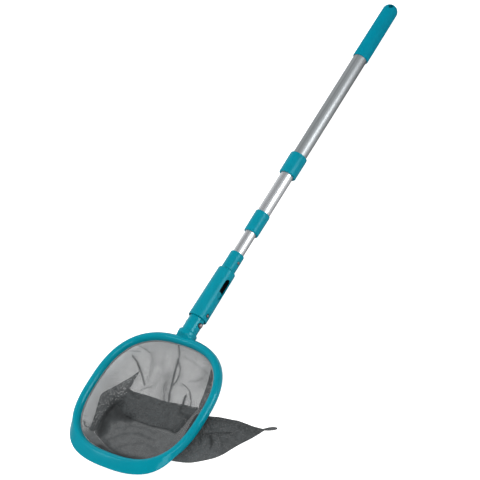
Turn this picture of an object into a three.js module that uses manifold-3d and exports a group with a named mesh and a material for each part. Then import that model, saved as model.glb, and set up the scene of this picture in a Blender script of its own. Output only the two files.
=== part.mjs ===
// Leaf skimmer net on a three-section telescopic pole, in millimetres, lying on
// the ground with its mouth upwards.
//
// +Y runs along the pole from the net to the grip, +X across the net, +Z up. The
// origin is on the ground under the foot of the adapter, where the pole touches it.
// The pole's axis, the stem's axis and the middle of the rim lie at axisHeight.

import * as THREE from 'three';
import { mergeVertices } from 'three/addons/utils/BufferGeometryUtils.js';
import Module from 'manifold-3d';

const wasm = await Module();
wasm.setup();

// ---------------------------------------------------------------- dimensions

// Clearances
const seatGap = 0.3;              // between two pieces that are fixed to each other
const slideGap = 0.35;            // all round, between telescoping tubes and their guides
const buttonGap = 0.45;           // all round, between a button and its hole

// Net frame: a rounded square ring of round section with a scoop lip
const mouthHalfWidth = 140.7;     // rim centre line
const mouthHalfLength = 133.6;    // rim centre line
const neckSquareness = 2.58;      // superellipse exponent of the half next to the pole
const lipSquareness = 2.72;       // superellipse exponent of the half next to the lip
const rimRadius = 8.15;
const lipReach = 21.2;            // from the rim centre line to the lip's edge
const lipTipRadius = 1.6;
const lipTipDrop = 1.5;           // the edge lies this much below the middle of the rim
const lipFlatWidth = 11;          // flat underside of the lip, level with the rim's bottom
const lipStart = 0.42;            // share of the way round to the front where the lip starts
const lipFull = 0.9;              // and where it has its full reach

// Groove, bead and tape that hold the bag
const beadRadius = 1.5;
const beadDrop = 1.5;             // bead centre below the middle of the rim
const grooveMouth = 2.2;
const tapeThickness = 1.2;
const tapeHeight = 9;

// Neck and hollow stem
const neckLength = 11.4;          // from the rim's outside to where the plain stem starts
const neckDiameter = 38.8;
const neckFoot = 54;              // width of the neck where it runs into the rim
const neckSkirt = 15;             // height of the neck there
const stemDiameter = 32;
const stemWall = 2.4;
const stemExposed = 34.1;         // plain stem between neck and adapter
const stemInsertion = 67;         // stem inside the adapter
const stemFloor = 9;              // solid root of the stem

// Quick-release clip in the stem
const thumbDiameter = 10.4;
const thumbStand = 3.4;           // stands out of the stem
const thumbBelowAdapter = 12.5;
const thumbDome = 3.2;            // height of the domed end
const pinDome = 1.4;
const lockPinDiameter = 6.4;
const lockPinStand = 0.7;         // stands out of the adapter
const lockPinInAdapter = 11.5;
const clipThickness = 0.8;
const clipWidth = 9;

// Adapter sleeve
const adapterFootDiameter = 39.4;
const adapterShoulderDiameter = 37;
const adapterBodyLength = 115;
const adapterNeckDiameter = 29.4;
const adapterNeckLength = 41.4;
const slotLength = 46;
const slotWidth = 13.2;
const slotFromFoot = 51;          // from the adapter's foot to the near end of the slot
const snapFromTop = 18.4;          // snap button below the adapter's upper end
const snapDiameter = 6.4;
const snapStand = 0.7;

// Tubes
const tubeWall = 0.9;
const innerDiameter = 23.2;
const middleDiameter = 27.1;
const outerDiameter = 29.3;
const tubeLength = 426.6;         // each of the three sections
const innerExposed = 52;          // bare inner tube as the pole is set
const middleExposed = 97.9;       // bare middle tube as the pole is set
const outerExposed = 260.8;       // bare outer tube between its collar and the grip

// Collars: the lower one on the middle tube, the upper one on the outer tube
const collarLength = 49;
const lowerCollarDiameter = 31.5; // at the wide end, towards the grip
const lowerCollarTaper = 0.35;    // how much the radius falls towards the net
const upperCollarDiameter = 36.9;
const upperCollarTaper = 0.3;
const collarRound = 1.5;
const collarStop = 6;             // from the collar's mouth to the end of its tube

// Twist lock in the end of each smaller tube
const plugLength = 18;
const flangeLength = 3;
const journalRadius = 5;
const coneRadius = 8;
const coneLength = 14;
const lockEnd = 2;
const shoeSlit = 3;

// Grip
const gripMouthDiameter = 33.8;
const gripEndDiameter = 32.5;
const gripEndWall = 24;           // from the end of the outer tube to the end of the grip
const gripEndTaper = 3;
const hangHoleDiameter = 9.6;
const hangHoleFromEnd = 11.6;
const hangHoleTurn = 23;          // degrees from upright, towards +X

// Bag
const bagCloth = 2;               // the cloth with its folds, laid flat
const bagSideWidth = 16;          // how far in the side of the bag reaches the ground
const foldHeight = 4.8;           // top of the cloth that is folded over inside the mouth
const bandHeight = 7.4;           // top of the band where it is folded twice
const foldRound = 5;              // how far the edge of a fold is rounded over
const tailTip = 260;              // X of the bag's end
const tailPuff = 9;               // height of the bag's loose end
const tabLength = 29;
const tabWidth = 6;
const tabThickness = 2;

// ------------------------------------------------------------- derived places

const axisHeight = adapterFootDiameter / 2;
const adapterFootY = 0;
const stemStartY = adapterFootY - stemExposed;
const neckRimY = stemStartY - neckLength - rimRadius;
const mouthCentreY = neckRimY - mouthHalfLength;
const stemEndY = adapterFootY + stemInsertion;
const adapterShoulderY = adapterFootY + adapterBodyLength;
const adapterTopY = adapterShoulderY + adapterNeckLength;

const lowerCollarY = adapterTopY + innerExposed;
const middleTubeY = lowerCollarY + collarStop;
const upperCollarY = lowerCollarY + collarLength + middleExposed;
const outerTubeY = upperCollarY + collarStop;
const gripY = upperCollarY + collarLength + outerExposed;
const outerEnd = outerTubeY + tubeLength;
const gripEndY = outerEnd + gripEndWall;

const stemRadius = stemDiameter / 2;
const stemBore = stemRadius - stemWall;
const socketRadius = stemRadius + seatGap;
const thumbY = adapterFootY - thumbBelowAdapter;
const lockPinY = adapterFootY + lockPinInAdapter;
const snapY = adapterTopY - snapFromTop;
const innerTubeY = adapterShoulderY - adapterBodyLength / 16;

const SIDES = 32;                 // faces round the pole's pieces
const STATIONS = 52;              // steps round the rim
const LOCK_SIDES = 24;            // faces round the hidden lock's pieces

// ------------------------------------------------------------------ materials

const finish = (color, roughness, metalness) =>
  new THREE.MeshStandardMaterial({ color, roughness, metalness });
const tealPlastic = finish(0x0a8498, 0.42, 0);
const tealGrip = finish(0x02788a, 0.55, 0);
const aluminium = finish(0xb4b8ba, 0.3, 0.9);
const steel = finish(0xb9aeb0, 0.28, 0.95);
const springSteel = finish(0x8d8f92, 0.35, 0.95);
const lockPlastic = finish(0x2a2c2e, 0.6, 0);
const meshCloth = finish(0x55595b, 0.9, 0);
const tapeCloth = finish(0x9a8f90, 0.85, 0);

const skimmer = new THREE.Group();

// -------------------------------------------------------------------- helpers

// Merged, closed and facing outwards, ready to be cut or joined.
function asManifold(geometry) {
  const plain = geometry.clone();
  for (const name of Object.keys(plain.attributes)) {
    if (name !== 'position') plain.deleteAttribute(name);
  }
  const merged = mergeVertices(plain, 1e-4);
  const vertices = merged.attributes.position.array;
  const index = Array.from(merged.index.array);
  const kept = [];
  const a = new THREE.Vector3();
  const b = new THREE.Vector3();
  const c = new THREE.Vector3();
  let volume = 0;
  for (let i = 0; i < index.length; i += 3) {
    const [p, q, r] = [index[i], index[i + 1], index[i + 2]];
    if (p === q || q === r || r === p) continue;
    kept.push(p, q, r);
    a.fromArray(vertices, 3 * p);
    b.fromArray(vertices, 3 * q);
    c.fromArray(vertices, 3 * r);
    volume += a.dot(b.cross(c));
  }
  if (volume < 0) kept.reverse();
  return new wasm.Manifold(new wasm.Mesh({
    numProp: 3,
    vertProperties: Float32Array.from(vertices),
    triVerts: Uint32Array.from(kept),
  }));
}

function asGeometry(manifold) {
  const mesh = manifold.getMesh();
  const geometry = new THREE.BufferGeometry();
  geometry.setAttribute('position', new THREE.BufferAttribute(mesh.vertProperties, 3));
  geometry.setIndex(new THREE.BufferAttribute(mesh.triVerts, 1));
  return geometry;
}

function addPiece(name, manifold, material) {
  const mesh = new THREE.Mesh(asGeometry(manifold), material);
  mesh.name = name;
  skimmer.add(mesh);
}

// A closed profile of [radius, y] corners turned about the pole's axis.
function turned(profile, sides = SIDES) {
  const onAxis = profile[0][0] === 0 && profile[profile.length - 1][0] === 0;
  const loop = onAxis ? profile : [...profile, profile[0]];
  const points = loop.map(([radius, y]) => new THREE.Vector2(radius, y));
  const geometry = new THREE.LatheGeometry(points, sides);
  geometry.translate(0, 0, axisHeight);
  return asManifold(geometry);
}

// A plain length of tube or rod on the pole's axis.
const tube = (outer, bore, from, to) =>
  turned([[bore, from], [outer, from], [outer, to], [bore, to]]);
const rod = (radius, from, to) =>
  turned([[0, from], [radius, from], [radius, to], [0, to]]);

// A round bar across the pole along X, from one x to another.
function crossBar(radius, fromX, toX, y, sides = 20) {
  const geometry = new THREE.CylinderGeometry(radius, radius, Math.abs(toX - fromX), sides);
  geometry.rotateZ(Math.PI / 2);
  geometry.translate((fromX + toX) / 2, y, axisHeight);
  return asManifold(geometry);
}

function block(sizeX, sizeY, sizeZ, x, y, z) {
  const geometry = new THREE.BoxGeometry(sizeX, sizeY, sizeZ);
  geometry.translate(x, y, z);
  return asManifold(geometry);
}

// A flat outline in the ground plane, given thickness along Z about a height.
function plate(points, thickness, z) {
  const shape = new THREE.Shape(points.map(([x, y]) => new THREE.Vector2(x, y)));
  const geometry = new THREE.ExtrudeGeometry(shape, { depth: thickness, bevelEnabled: false });
  geometry.translate(0, 0, z - thickness / 2);
  return asManifold(geometry);
}

// Closed body from rows of points: each row is a closed loop, and the first and
// last rows are capped, or joined to each other when the body is a ring.
function loft(rows, isRing) {
  const count = rows[0].length;
  const vertices = rows.flat(2);
  const index = [];
  const last = isRing ? rows.length : rows.length - 1;
  for (let i = 0; i < last; i += 1) {
    const here = i * count;
    const next = ((i + 1) % rows.length) * count;
    for (let j = 0; j < count; j += 1) {
      const k = (j + 1) % count;
      index.push(here + j, next + j, next + k, here + j, next + k, here + k);
    }
  }
  if (!isRing) {
    const end = (rows.length - 1) * count;
    for (let j = 1; j < count - 1; j += 1) {
      index.push(0, j, j + 1);
      index.push(end, end + j + 1, end + j);
    }
  }
  const geometry = new THREE.BufferGeometry();
  geometry.setAttribute('position', new THREE.Float32BufferAttribute(vertices, 3));
  geometry.setIndex(index);
  return asManifold(geometry);
}

// --------------------------------------------------------------- rim geometry

// The rim's centre line with its outward direction, station by station.
const stations = [];
for (let i = 0; i < STATIONS; i += 1) {
  const angle = (2 * Math.PI * i) / STATIONS;
  const cos = Math.cos(angle);
  const sin = Math.sin(angle);
  const power = 2 / (sin > 0 ? neckSquareness : lipSquareness);
  const x = mouthHalfWidth * Math.sign(cos) * Math.abs(cos) ** power;
  const y = mouthHalfLength * Math.sign(sin) * Math.abs(sin) ** power;
  const normal = new THREE.Vector2(
    Math.sign(x) * Math.abs(x / mouthHalfWidth) ** (2 / power - 1) / mouthHalfWidth,
    Math.sign(y) * Math.abs(y / mouthHalfLength) ** (2 / power - 1) / mouthHalfLength,
  ).normalize();
  const lip = THREE.MathUtils.smoothstep(-sin, lipStart, lipFull);
  stations.push({ x, y: y + mouthCentreY, normal, lip });
}

// A point at a station: out is measured outwards from the rim's centre line and
// up from the middle of the rim.
const atStation = ({ x, y, normal }, out, up) =>
  [x + out * normal.x, y + out * normal.y, axisHeight + up];

const ringOf = (section) =>
  loft(stations.map((station) => section(station).map(([out, up]) => atStation(station, out, up))), true);

// The rim's section is the hull of its round tube, the lip's edge and the lip's
// flat underside. A groove in its inner side takes the bead of the bag.
const SECTION_POINTS = 18;
const grooveRadius = beadRadius + seatGap;
const grooveCentre = -(rimRadius - grooveRadius - 0.6);

function rimSection({ lip }) {
  const inTube = rimRadius - lipTipRadius;
  const edge = THREE.MathUtils.lerp(inTube, lipReach - lipTipRadius, lip);
  const tips = [[edge, -lipTipDrop * lip], [lipFlatWidth * lip, -inTube], [0, -inTube]];
  const points = [];
  for (let k = 0; k < SECTION_POINTS; k += 1) {
    const turn = -Math.PI + (2 * Math.PI * (k + 0.5)) / SECTION_POINTS;
    const direction = [Math.cos(turn), Math.sin(turn)];
    if (Math.abs(direction[0]) < 1e-6 && direction[1] < 0) {
      points.push([0, -rimRadius], [lipFlatWidth * lip, -rimRadius]);
      continue;
    }
    let best = [rimRadius * direction[0], rimRadius * direction[1]];
    let reach = rimRadius;
    for (const tip of tips) {
      const support = tip[0] * direction[0] + tip[1] * direction[1] + lipTipRadius;
      if (support > reach) {
        reach = support;
        best = [tip[0] + lipTipRadius * direction[0], tip[1] + lipTipRadius * direction[1]];
      }
    }
    points.push(best);
  }
  return points;
}

const circle = (radius, out, up, count) =>
  Array.from({ length: count }, (_, k) => {
    const turn = (2 * Math.PI * k) / count;
    return [out + radius * Math.cos(turn), up + radius * Math.sin(turn)];
  });

// ------------------------------------------------------------------ net frame

// The neck's sections on their way from inside the rim to the stem. Each row is
// the share of the way, then how far the width has come in from the foot, how far
// the height has grown from the skirt, and squareness.
const neckSections = [
  [-0.1, 0.05, 0, 2.2],
  [0.2, 0.3, 0.14, 2.2],
  [0.33, 0.66, 0.36, 2.2],
  [0.42, 0.9, 0.62, 2.1],
  [0.49, 0.97, 0.84, 2],
  [0.57, 1, 0.96, 2],
  [0.66, 1, 1, 2],
];
const neckBevel = 0.8;

// A rounded loop across the pole's axis at one y.
function acrossRow(y, halfWidth, halfHeight, squareness) {
  return Array.from({ length: SIDES }, (_, k) => {
    const turn = (2 * Math.PI * k) / SIDES;
    const cos = Math.cos(turn);
    const sin = Math.sin(turn);
    const power = 2 / squareness;
    return [halfWidth * Math.sign(cos) * Math.abs(cos) ** power, y,
      axisHeight + halfHeight * Math.sign(sin) * Math.abs(sin) ** power];
  });
}

function makeNeckAndStem() {
  const { lerp } = THREE.MathUtils;
  const rows = neckSections.map(([share, inward, growth, squareness]) => acrossRow(
    lerp(neckRimY, stemStartY, share), lerp(neckFoot, neckDiameter, inward) / 2,
    lerp(neckSkirt, neckDiameter, growth) / 2, squareness,
  ));
  const bevel = 1.2;
  const round = (radius, y) => rows.push(acrossRow(y, radius, radius, 2));
  round(neckDiameter / 2, stemStartY - neckBevel);
  round(neckDiameter / 2 - neckBevel, stemStartY);
  round(stemRadius, stemStartY + 0.2);
  round(stemRadius, stemEndY - bevel);
  round(stemRadius - bevel, stemEndY);
  return loft(rows, false);
}

// Rim with lip, neck and hollow stem: one moulding. The bead's groove opens
// inwards through a narrower mouth.
function makeNetFrame() {
  const rim = ringOf(rimSection);
  const groove = ringOf(() => circle(grooveRadius, grooveCentre, -beadDrop, 7));
  const mouth = ringOf(() => {
    const half = grooveMouth / 2;
    const inside = grooveCentre;
    const outside = -(rimRadius + 1);
    return [[outside, -beadDrop - half], [inside, -beadDrop - half],
      [inside, -beadDrop + half], [outside, -beadDrop + half]];
  });
  let frame = rim.add(makeNeckAndStem());
  frame = frame.subtract(rod(stemBore, stemStartY + stemFloor - neckLength, stemEndY + 1));
  frame = frame.subtract(groove).subtract(mouth);
  frame = frame.subtract(crossBar(thumbDiameter / 2 + buttonGap, -stemDiameter, stemDiameter, thumbY));
  return frame.subtract(crossBar(lockPinDiameter / 2 + buttonGap, -stemDiameter, stemDiameter, lockPinY));
}
addPiece('net_frame', makeNetFrame(), tealPlastic);

// --------------------------------------------------------- bag and how it hangs

// The bag hangs from a sewn tape. A cord bead is pressed into the rim's groove.
addPiece('hem_bead_cord', ringOf(() => circle(beadRadius, grooveCentre, -beadDrop, 6)), tapeCloth);

const tapeOut = -(rimRadius + seatGap);
const tapeTop = -beadDrop + grooveMouth / 2;
addPiece('net_hem_tape', ringOf(() => [
  [tapeOut - tapeThickness, tapeTop - tapeHeight], [tapeOut, tapeTop - tapeHeight],
  [tapeOut, tapeTop], [tapeOut - tapeThickness, tapeTop],
]), tapeCloth);

// The bag under the mouth is a shallow dish that lies on the ground. Its loose
// end runs out under the rim on the +X side and closes to a point.
const bagEdgeOut = tapeOut - tapeThickness / 2;
const bagTop = axisHeight + tapeTop - tapeHeight - seatGap;

function makeBagDish() {
  const rows = [];
  const edge = (out, z) => stations.map((station) => {
    const [x, y] = atStation(station, out, 0);
    return [x, y, z];
  });
  rows.push(edge(bagEdgeOut - bagSideWidth, 0));
  rows.push(edge(bagEdgeOut - bagSideWidth / 3, bagTop / 4));
  rows.push(edge(bagEdgeOut + bagCloth / 4, bagTop - bagCloth));
  rows.push(edge(bagEdgeOut + bagCloth / 4, bagTop));
  rows.push(edge(bagEdgeOut - bagCloth / 2, bagTop));
  rows.push(edge(bagEdgeOut - bagSideWidth / 3 - bagCloth / 2, bagTop / 4 + bagCloth));
  rows.push(edge(bagEdgeOut - bagSideWidth, bagCloth));
  return loft(rows, false);
}

// Plan of the loose end: its two edges as smooth curves, measured in X and Y from
// the middle of the mouth.
const edgeCurve = (points) => new THREE.CatmullRomCurve3(
  points.map(([x, y]) => new THREE.Vector3(x, mouthCentreY + y, 0)),
);
const tailNeckEdge = edgeCurve([[95, 6], [138, 10], [172, 19], [203, 24], [233, 25], [tailTip, 23.5]]);
const tailLipEdge = edgeCurve([[84, -96], [118, -93], [145, -84], [174, -73], [204, -52], [tailTip, 20]]);

function makeBagTail() {
  const rows = [];
  const steps = 14;
  const across = 10;
  for (let i = 0; i <= steps; i += 1) {
    const along = i / steps;
    const neck = tailNeckEdge.getPoint(along);
    const lip = tailLipEdge.getPoint(along);
    const underRim = axisHeight - rimRadius - 2 * seatGap;
    const free = THREE.MathUtils.smoothstep(along, 0.42, 0.62);
    const closing = 1 - THREE.MathUtils.smoothstep(along, 0.6, 1);
    const height = (underRim - 2) * (1 - free) + free * (3 + (tailPuff - 3) * closing);
    const row = [];
    for (let j = 0; j <= across; j += 1) {
      const share = j / across;
      row.push([...lip.clone().lerp(neck, share).toArray().slice(0, 2), 0]);
    }
    for (let j = across - 1; j >= 1; j -= 1) {
      const share = j / across;
      const dome = Math.sin(Math.PI * share) ** 0.7;
      row.push([...lip.clone().lerp(neck, share).toArray().slice(0, 2), 0.8 + (height - 0.8) * dome]);
    }
    rows.push(row);
  }
  return loft(rows, false);
}

// The cloth inside the mouth is folded over towards the lip, and its band next to
// the neck is folded twice. Plan points are measured from the middle of the mouth.
const foldPlan = [[-71, 52], [-98, 26], [-115, -6], [-113, -45], [-100, -88], [-60, -103],
  [-5, -114], [45, -107], [78, -84], [100, -40], [103, 12], [60, 18], [5, 11], [-58, 15]];
const bandPlan = [[-74, 44], [-95, 22], [-109, -9], [-106, -45], [-96, -80], [-88, -82],
  [-82, -50], [-68, -26], [-28, -43], [28, -46], [90, -38], [97, 7], [40, 10], [-62, 8]];
function makeFold(plan, top) {
  const curve = new THREE.CatmullRomCurve3(plan.map(([x, y]) => new THREE.Vector3(x, y, 0)), true);
  const count = 2 * plan.length;
  const edge = Array.from({ length: count }, (_, k) => curve.getPoint(k / count));
  const inward = edge.map((_, k) => {
    const along = edge[(k + 1) % count].clone().sub(edge[(k + count - 1) % count]).normalize();
    return new THREE.Vector3(-along.y, along.x, 0);
  });
  const row = (inset, z) => edge.map((point, k) =>
    [point.x + inset * inward[k].x, mouthCentreY + point.y + inset * inward[k].y, z]);
  return loft([row(0, top * 0.2), row(0, top * 0.6), row(foldRound * 0.6, top)], false);
}
const bagFolds = makeFold(foldPlan, foldHeight).add(makeFold(bandPlan, bandHeight));
addPiece('net_bag', makeBagDish().add(makeBagTail()).add(bagFolds), meshCloth);

function makeEndTab() {
  const from = tailTip + seatGap + 0.6;
  const rise = 8;
  const y = (tailNeckEdge.getPoint(1).y + tailLipEdge.getPoint(1).y) / 2;
  const half = tabWidth / 2;
  return plate([[from, y - half * 0.5], [from + tabLength * 0.4, y + rise * 0.3 - half],
    [from + tabLength, y + rise - half * 0.6], [from + tabLength, y + rise + half * 0.6],
    [from + tabLength * 0.4, y + rise * 0.3 + half], [from, y + half * 0.5]],
  tabThickness, tabThickness / 2);
}
addPiece('bag_end_tab', makeEndTab(), meshCloth);

// --------------------------------------------------- quick-release clips

// A strip of spring steel bent into a U. Its legs lie along the bore and each
// carries a button, so a squeeze draws the buttons in.
function makeSpringClip(bore, bowEnd, legEnd, width) {
  const outer = Math.sqrt(bore ** 2 - (width / 2) ** 2) - seatGap;
  const inner = outer - clipThickness;
  const bowY = bowEnd > legEnd ? bowEnd - outer : bowEnd + outer;
  const away = bowEnd > legEnd ? 1 : -1;
  const arc = (radius, from, to) => Array.from({ length: 13 }, (_, k) => {
    const turn = from + ((to - from) * k) / 12;
    return [radius * Math.cos(turn), bowY + away * radius * Math.sin(turn)];
  });
  return plate([[outer, legEnd], ...arc(outer, 0, Math.PI), [-outer, legEnd],
    [-inner, legEnd], ...arc(inner, Math.PI, 0), [inner, legEnd]], width, axisHeight);
}
const clipFace = (bore, width) => Math.sqrt(bore ** 2 - (width / 2) ** 2);

// A domed button on the +X or -X side, from the clip's face out to a radius.
function makeButton(side, diameter, from, to, y, dome) {
  const radius = diameter / 2;
  const profile = [[0, from], [radius, from], [radius, to - dome]];
  for (let k = 1; k <= 4; k += 1) {
    const turn = (Math.PI / 2) * (k / 4);
    profile.push([k === 4 ? 0 : radius * Math.cos(turn), to - dome + dome * Math.sin(turn)]);
  }
  const geometry = new THREE.LatheGeometry(profile.map(([r, h]) => new THREE.Vector2(r, h)), 14);
  geometry.rotateZ((-side * Math.PI) / 2);
  geometry.translate(0, y, axisHeight);
  return asManifold(geometry);
}

addPiece('stem_spring_clip', makeSpringClip(stemBore, stemEndY - 8, thumbY - 8, clipWidth), springSteel);
const stemClipFace = clipFace(stemBore, clipWidth);
for (const [side, word] of [[1, 'right'], [-1, 'left']]) {
  addPiece(`thumb_button_${word}`,
    makeButton(side, thumbDiameter, stemClipFace, stemRadius + thumbStand, thumbY, thumbDome), steel);
  const lockPinTop = adapterFootDiameter / 2 + lockPinStand;
  addPiece(`stem_lock_pin_${word}`,
    makeButton(side, lockPinDiameter, stemClipFace, lockPinTop, lockPinY, pinDome), steel);
}

// -------------------------------------------------------------- adapter sleeve

const innerRadius = innerDiameter / 2;
const innerBore = innerRadius - tubeWall;
const adapterNeckRadius = adapterNeckDiameter / 2;

function makeAdapter() {
  const foot = adapterFootDiameter / 2;
  const shoulder = adapterShoulderDiameter / 2;
  const fillet = 1.4;
  let sleeve = turned([
    [socketRadius, adapterFootY + 1.6], [socketRadius + 1.2, adapterFootY],
    [foot - 0.8, adapterFootY], [foot, adapterFootY + 0.8],
    [shoulder, adapterShoulderY - fillet], [shoulder - fillet, adapterShoulderY],
    [adapterNeckRadius, adapterShoulderY + 1], [adapterNeckRadius, adapterTopY - fillet],
    [adapterNeckRadius - fillet, adapterTopY], [innerRadius + seatGap, adapterTopY],
    [innerRadius + seatGap, innerTubeY - seatGap], [innerBore, innerTubeY - seatGap],
    [innerBore, innerTubeY - 4], [socketRadius, innerTubeY - 9],
  ]);
  sleeve = sleeve.subtract(crossBar(lockPinDiameter / 2 + buttonGap, -foot - 1, foot + 1, lockPinY));
  sleeve = sleeve.subtract(crossBar(snapDiameter / 2 + buttonGap, -foot, foot, snapY));
  const slotNear = adapterFootY + slotFromFoot + slotWidth / 2;
  const slotFar = slotNear + slotLength - slotWidth;
  for (const y of [slotNear, slotFar]) {
    sleeve = sleeve.subtract(crossBar(slotWidth / 2, -foot - 1, foot + 1, y));
  }
  return sleeve.subtract(block(adapterFootDiameter + 2, slotFar - slotNear, slotWidth,
    0, (slotNear + slotFar) / 2, axisHeight));
}
addPiece('adapter_sleeve', makeAdapter(), tealPlastic);

// -------------------------------------------------------------- telescopic pole

const makeTube = (diameter, from) =>
  tube(diameter / 2, diameter / 2 - tubeWall, from, from + tubeLength);

const innerTube = makeTube(innerDiameter, innerTubeY)
  .subtract(crossBar(snapDiameter / 2 + buttonGap, -innerRadius - 1, innerRadius + 1, snapY));
addPiece('inner_tube', innerTube, aluminium);
addPiece('middle_tube', makeTube(middleDiameter, middleTubeY), aluminium);
addPiece('outer_tube', makeTube(outerDiameter, outerTubeY), aluminium);

const snapClipWidth = 7;
addPiece('pole_spring_clip',
  makeSpringClip(innerBore, snapY + 26, innerTubeY + 2, snapClipWidth), springSteel);
const snapFace = clipFace(innerBore, snapClipWidth);
for (const [side, word] of [[1, 'right'], [-1, 'left']]) {
  addPiece(`snap_button_${word}`,
    makeButton(side, snapDiameter, snapFace, adapterNeckRadius + snapStand, snapY, pinDome), steel);
}

// A collar is fixed over the end of its own tube. Its mouth guides the smaller one.
function makeCollar(wideDiameter, taper, ownDiameter, smallDiameter, from) {
  const own = ownDiameter / 2 + seatGap;
  const guide = smallDiameter / 2 + slideGap;
  const wide = wideDiameter / 2;
  const narrow = wide - taper;
  const to = from + collarLength;
  return turned([
    [guide + 0.8, from], [narrow - collarRound, from], [narrow, from + collarRound],
    [wide, to - collarRound], [wide - collarRound, to], [own, to],
    [own, from + collarStop - seatGap], [guide, from + collarStop - seatGap], [guide, from + 0.8],
  ]);
}

// The twist lock: a plug in the smaller tube's end carries a cone, and a split
// shoe on the cone grips the bore of the larger tube when the tubes are turned.
const lockJournal = 4;
function makeLockPlug(diameter, tubeEnd) {
  const bore = diameter / 2 - tubeWall - seatGap;
  const flange = diameter / 2 - 0.5;
  const face = tubeEnd + seatGap + flangeLength;
  return turned([
    [0, tubeEnd - plugLength], [bore - 1, tubeEnd - plugLength], [bore, tubeEnd - plugLength + 1],
    [bore, tubeEnd + seatGap], [flange, tubeEnd + seatGap], [flange, face],
    [journalRadius, face], [journalRadius, face + lockJournal],
    [coneRadius, face + lockJournal + coneLength], [coneRadius, face + lockJournal + coneLength + lockEnd],
    [0, face + lockJournal + coneLength + lockEnd],
  ], LOCK_SIDES);
}
function makeLockShoe(diameter, largeBore, tubeEnd) {
  const face = tubeEnd + 2 * seatGap + flangeLength;
  const reach = largeBore - slideGap;
  const end = face + lockJournal + coneLength - 2 * seatGap;
  const gap = slideGap;
  const slope = (coneRadius - journalRadius) / coneLength;
  const start = face + lockJournal - seatGap;
  const shoe = turned([
    [journalRadius + gap, face], [reach - 1.2, face], [reach, face + 2],
    [reach, end - 1.5], [reach - 1, end],
    [journalRadius + gap + slope * (end - start), end], [journalRadius + gap, start],
  ], LOCK_SIDES);
  return shoe.subtract(block(2 * reach, end - face + 2, shoeSlit, reach, (face + end) / 2, axisHeight));
}

const innerEnd = innerTubeY + tubeLength;
const middleEnd = middleTubeY + tubeLength;
addPiece('lower_collar', makeCollar(lowerCollarDiameter, lowerCollarTaper,
  middleDiameter, innerDiameter, lowerCollarY), tealPlastic);
addPiece('upper_collar', makeCollar(upperCollarDiameter, upperCollarTaper,
  outerDiameter, middleDiameter, upperCollarY), tealPlastic);
addPiece('lower_lock_plug', makeLockPlug(innerDiameter, innerEnd), lockPlastic);
addPiece('upper_lock_plug', makeLockPlug(middleDiameter, middleEnd), lockPlastic);
addPiece('lower_lock_shoe',
  makeLockShoe(innerDiameter, middleDiameter / 2 - tubeWall, innerEnd), tealPlastic);
addPiece('upper_lock_shoe',
  makeLockShoe(middleDiameter, outerDiameter / 2 - tubeWall, middleEnd), tealPlastic);

// ------------------------------------------------------------------------ grip

// A thick moulded sleeve with a domed end, crossed by a hole to hang it by.
function makeGrip() {
  const bore = outerDiameter / 2 + seatGap;
  const mouth = gripMouthDiameter / 2;
  const end = gripEndDiameter / 2;
  const domeY = gripEndY - end;
  const floor = outerEnd + seatGap;
  const profile = [[0, floor + gripEndTaper], [bore - gripEndTaper, floor + gripEndTaper], [bore, floor],
    [bore, gripY], [mouth - 1, gripY], [mouth, gripY + 1], [end, domeY]];
  for (let k = 1; k <= 8; k += 1) {
    const turn = (Math.PI / 2) * (k / 8);
    profile.push([k === 8 ? 0 : end * Math.cos(turn), domeY + end * Math.sin(turn)]);
  }
  const hole = new THREE.CylinderGeometry(
    hangHoleDiameter / 2, hangHoleDiameter / 2, gripEndDiameter + 2, 24,
  );
  hole.rotateX(Math.PI / 2);
  hole.rotateY(THREE.MathUtils.degToRad(hangHoleTurn));
  hole.translate(0, gripEndY - hangHoleFromEnd, axisHeight);
  return turned(profile).subtract(asManifold(hole));
}
addPiece('grip', makeGrip(), tealGrip);

export default skimmer;
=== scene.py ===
# Leaf skimmer net on a telescopic pole, dressed for a studio picture.
# Pieces are measured in millimetres, and place() turns them into metres. Looks, lamps
# and the floor's shading are measured in metres.

import math

import bmesh
import bpy
import numpy as np
from mathutils import Matrix, Vector, noise
from mathutils.geometry import delaunay_2d_cdt


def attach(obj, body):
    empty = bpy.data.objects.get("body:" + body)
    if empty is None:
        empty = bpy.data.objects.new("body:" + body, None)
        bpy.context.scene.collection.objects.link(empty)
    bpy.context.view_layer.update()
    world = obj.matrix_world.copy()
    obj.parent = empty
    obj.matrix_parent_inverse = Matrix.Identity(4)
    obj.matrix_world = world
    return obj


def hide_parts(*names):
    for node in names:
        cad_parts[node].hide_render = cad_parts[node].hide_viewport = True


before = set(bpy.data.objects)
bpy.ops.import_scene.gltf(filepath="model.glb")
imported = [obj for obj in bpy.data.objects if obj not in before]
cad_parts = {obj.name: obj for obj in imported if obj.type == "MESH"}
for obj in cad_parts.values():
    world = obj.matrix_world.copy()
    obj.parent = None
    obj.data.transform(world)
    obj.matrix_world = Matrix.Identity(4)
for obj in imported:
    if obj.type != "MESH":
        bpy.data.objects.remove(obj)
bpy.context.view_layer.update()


# ------------------------------------------------------------- net frame moulding
# The rim, scoop lip, neck and hollow stem are one injection moulding in teal
# plastic. The rim is a round section on a rounded-square path, and the lip grows
# out of it level at the front. A groove inside takes the bead of the bag.
AXIS_HEIGHT = 19.7
RIM_MIDDLE_Y = -187.25
RIM_HALF_WIDTH = 140.7
RIM_HALF_LENGTH = 133.6
RIM_SHIFT_X = -0.6
RIM_SHIFT_Y = 0.3
NECK_SQUARENESS = 2.58
LIP_SQUARENESS = 2.72
RIM_RADIUS = 8.15
RIM_CROWN = 1.26
RIM_FLANK = 1.05
LIP_REACH = 21.2
LIP_TIP_RADIUS = 1.6
LIP_TIP_DROP = 1.5
LIP_FLAT_WIDTH = 11.0
LIP_START = 0.42
LIP_FULL = 0.9
RIM_STATIONS = 300
RIM_SECTION_STEPS = 48
FINE_STEPS = 4000
GROOVE_OUT = -5.75
GROOVE_DROP = 1.5
GROOVE_RADIUS = 1.8
GROOVE_MOUTH = 2.2
GROOVE_STEPS = 11
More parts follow.
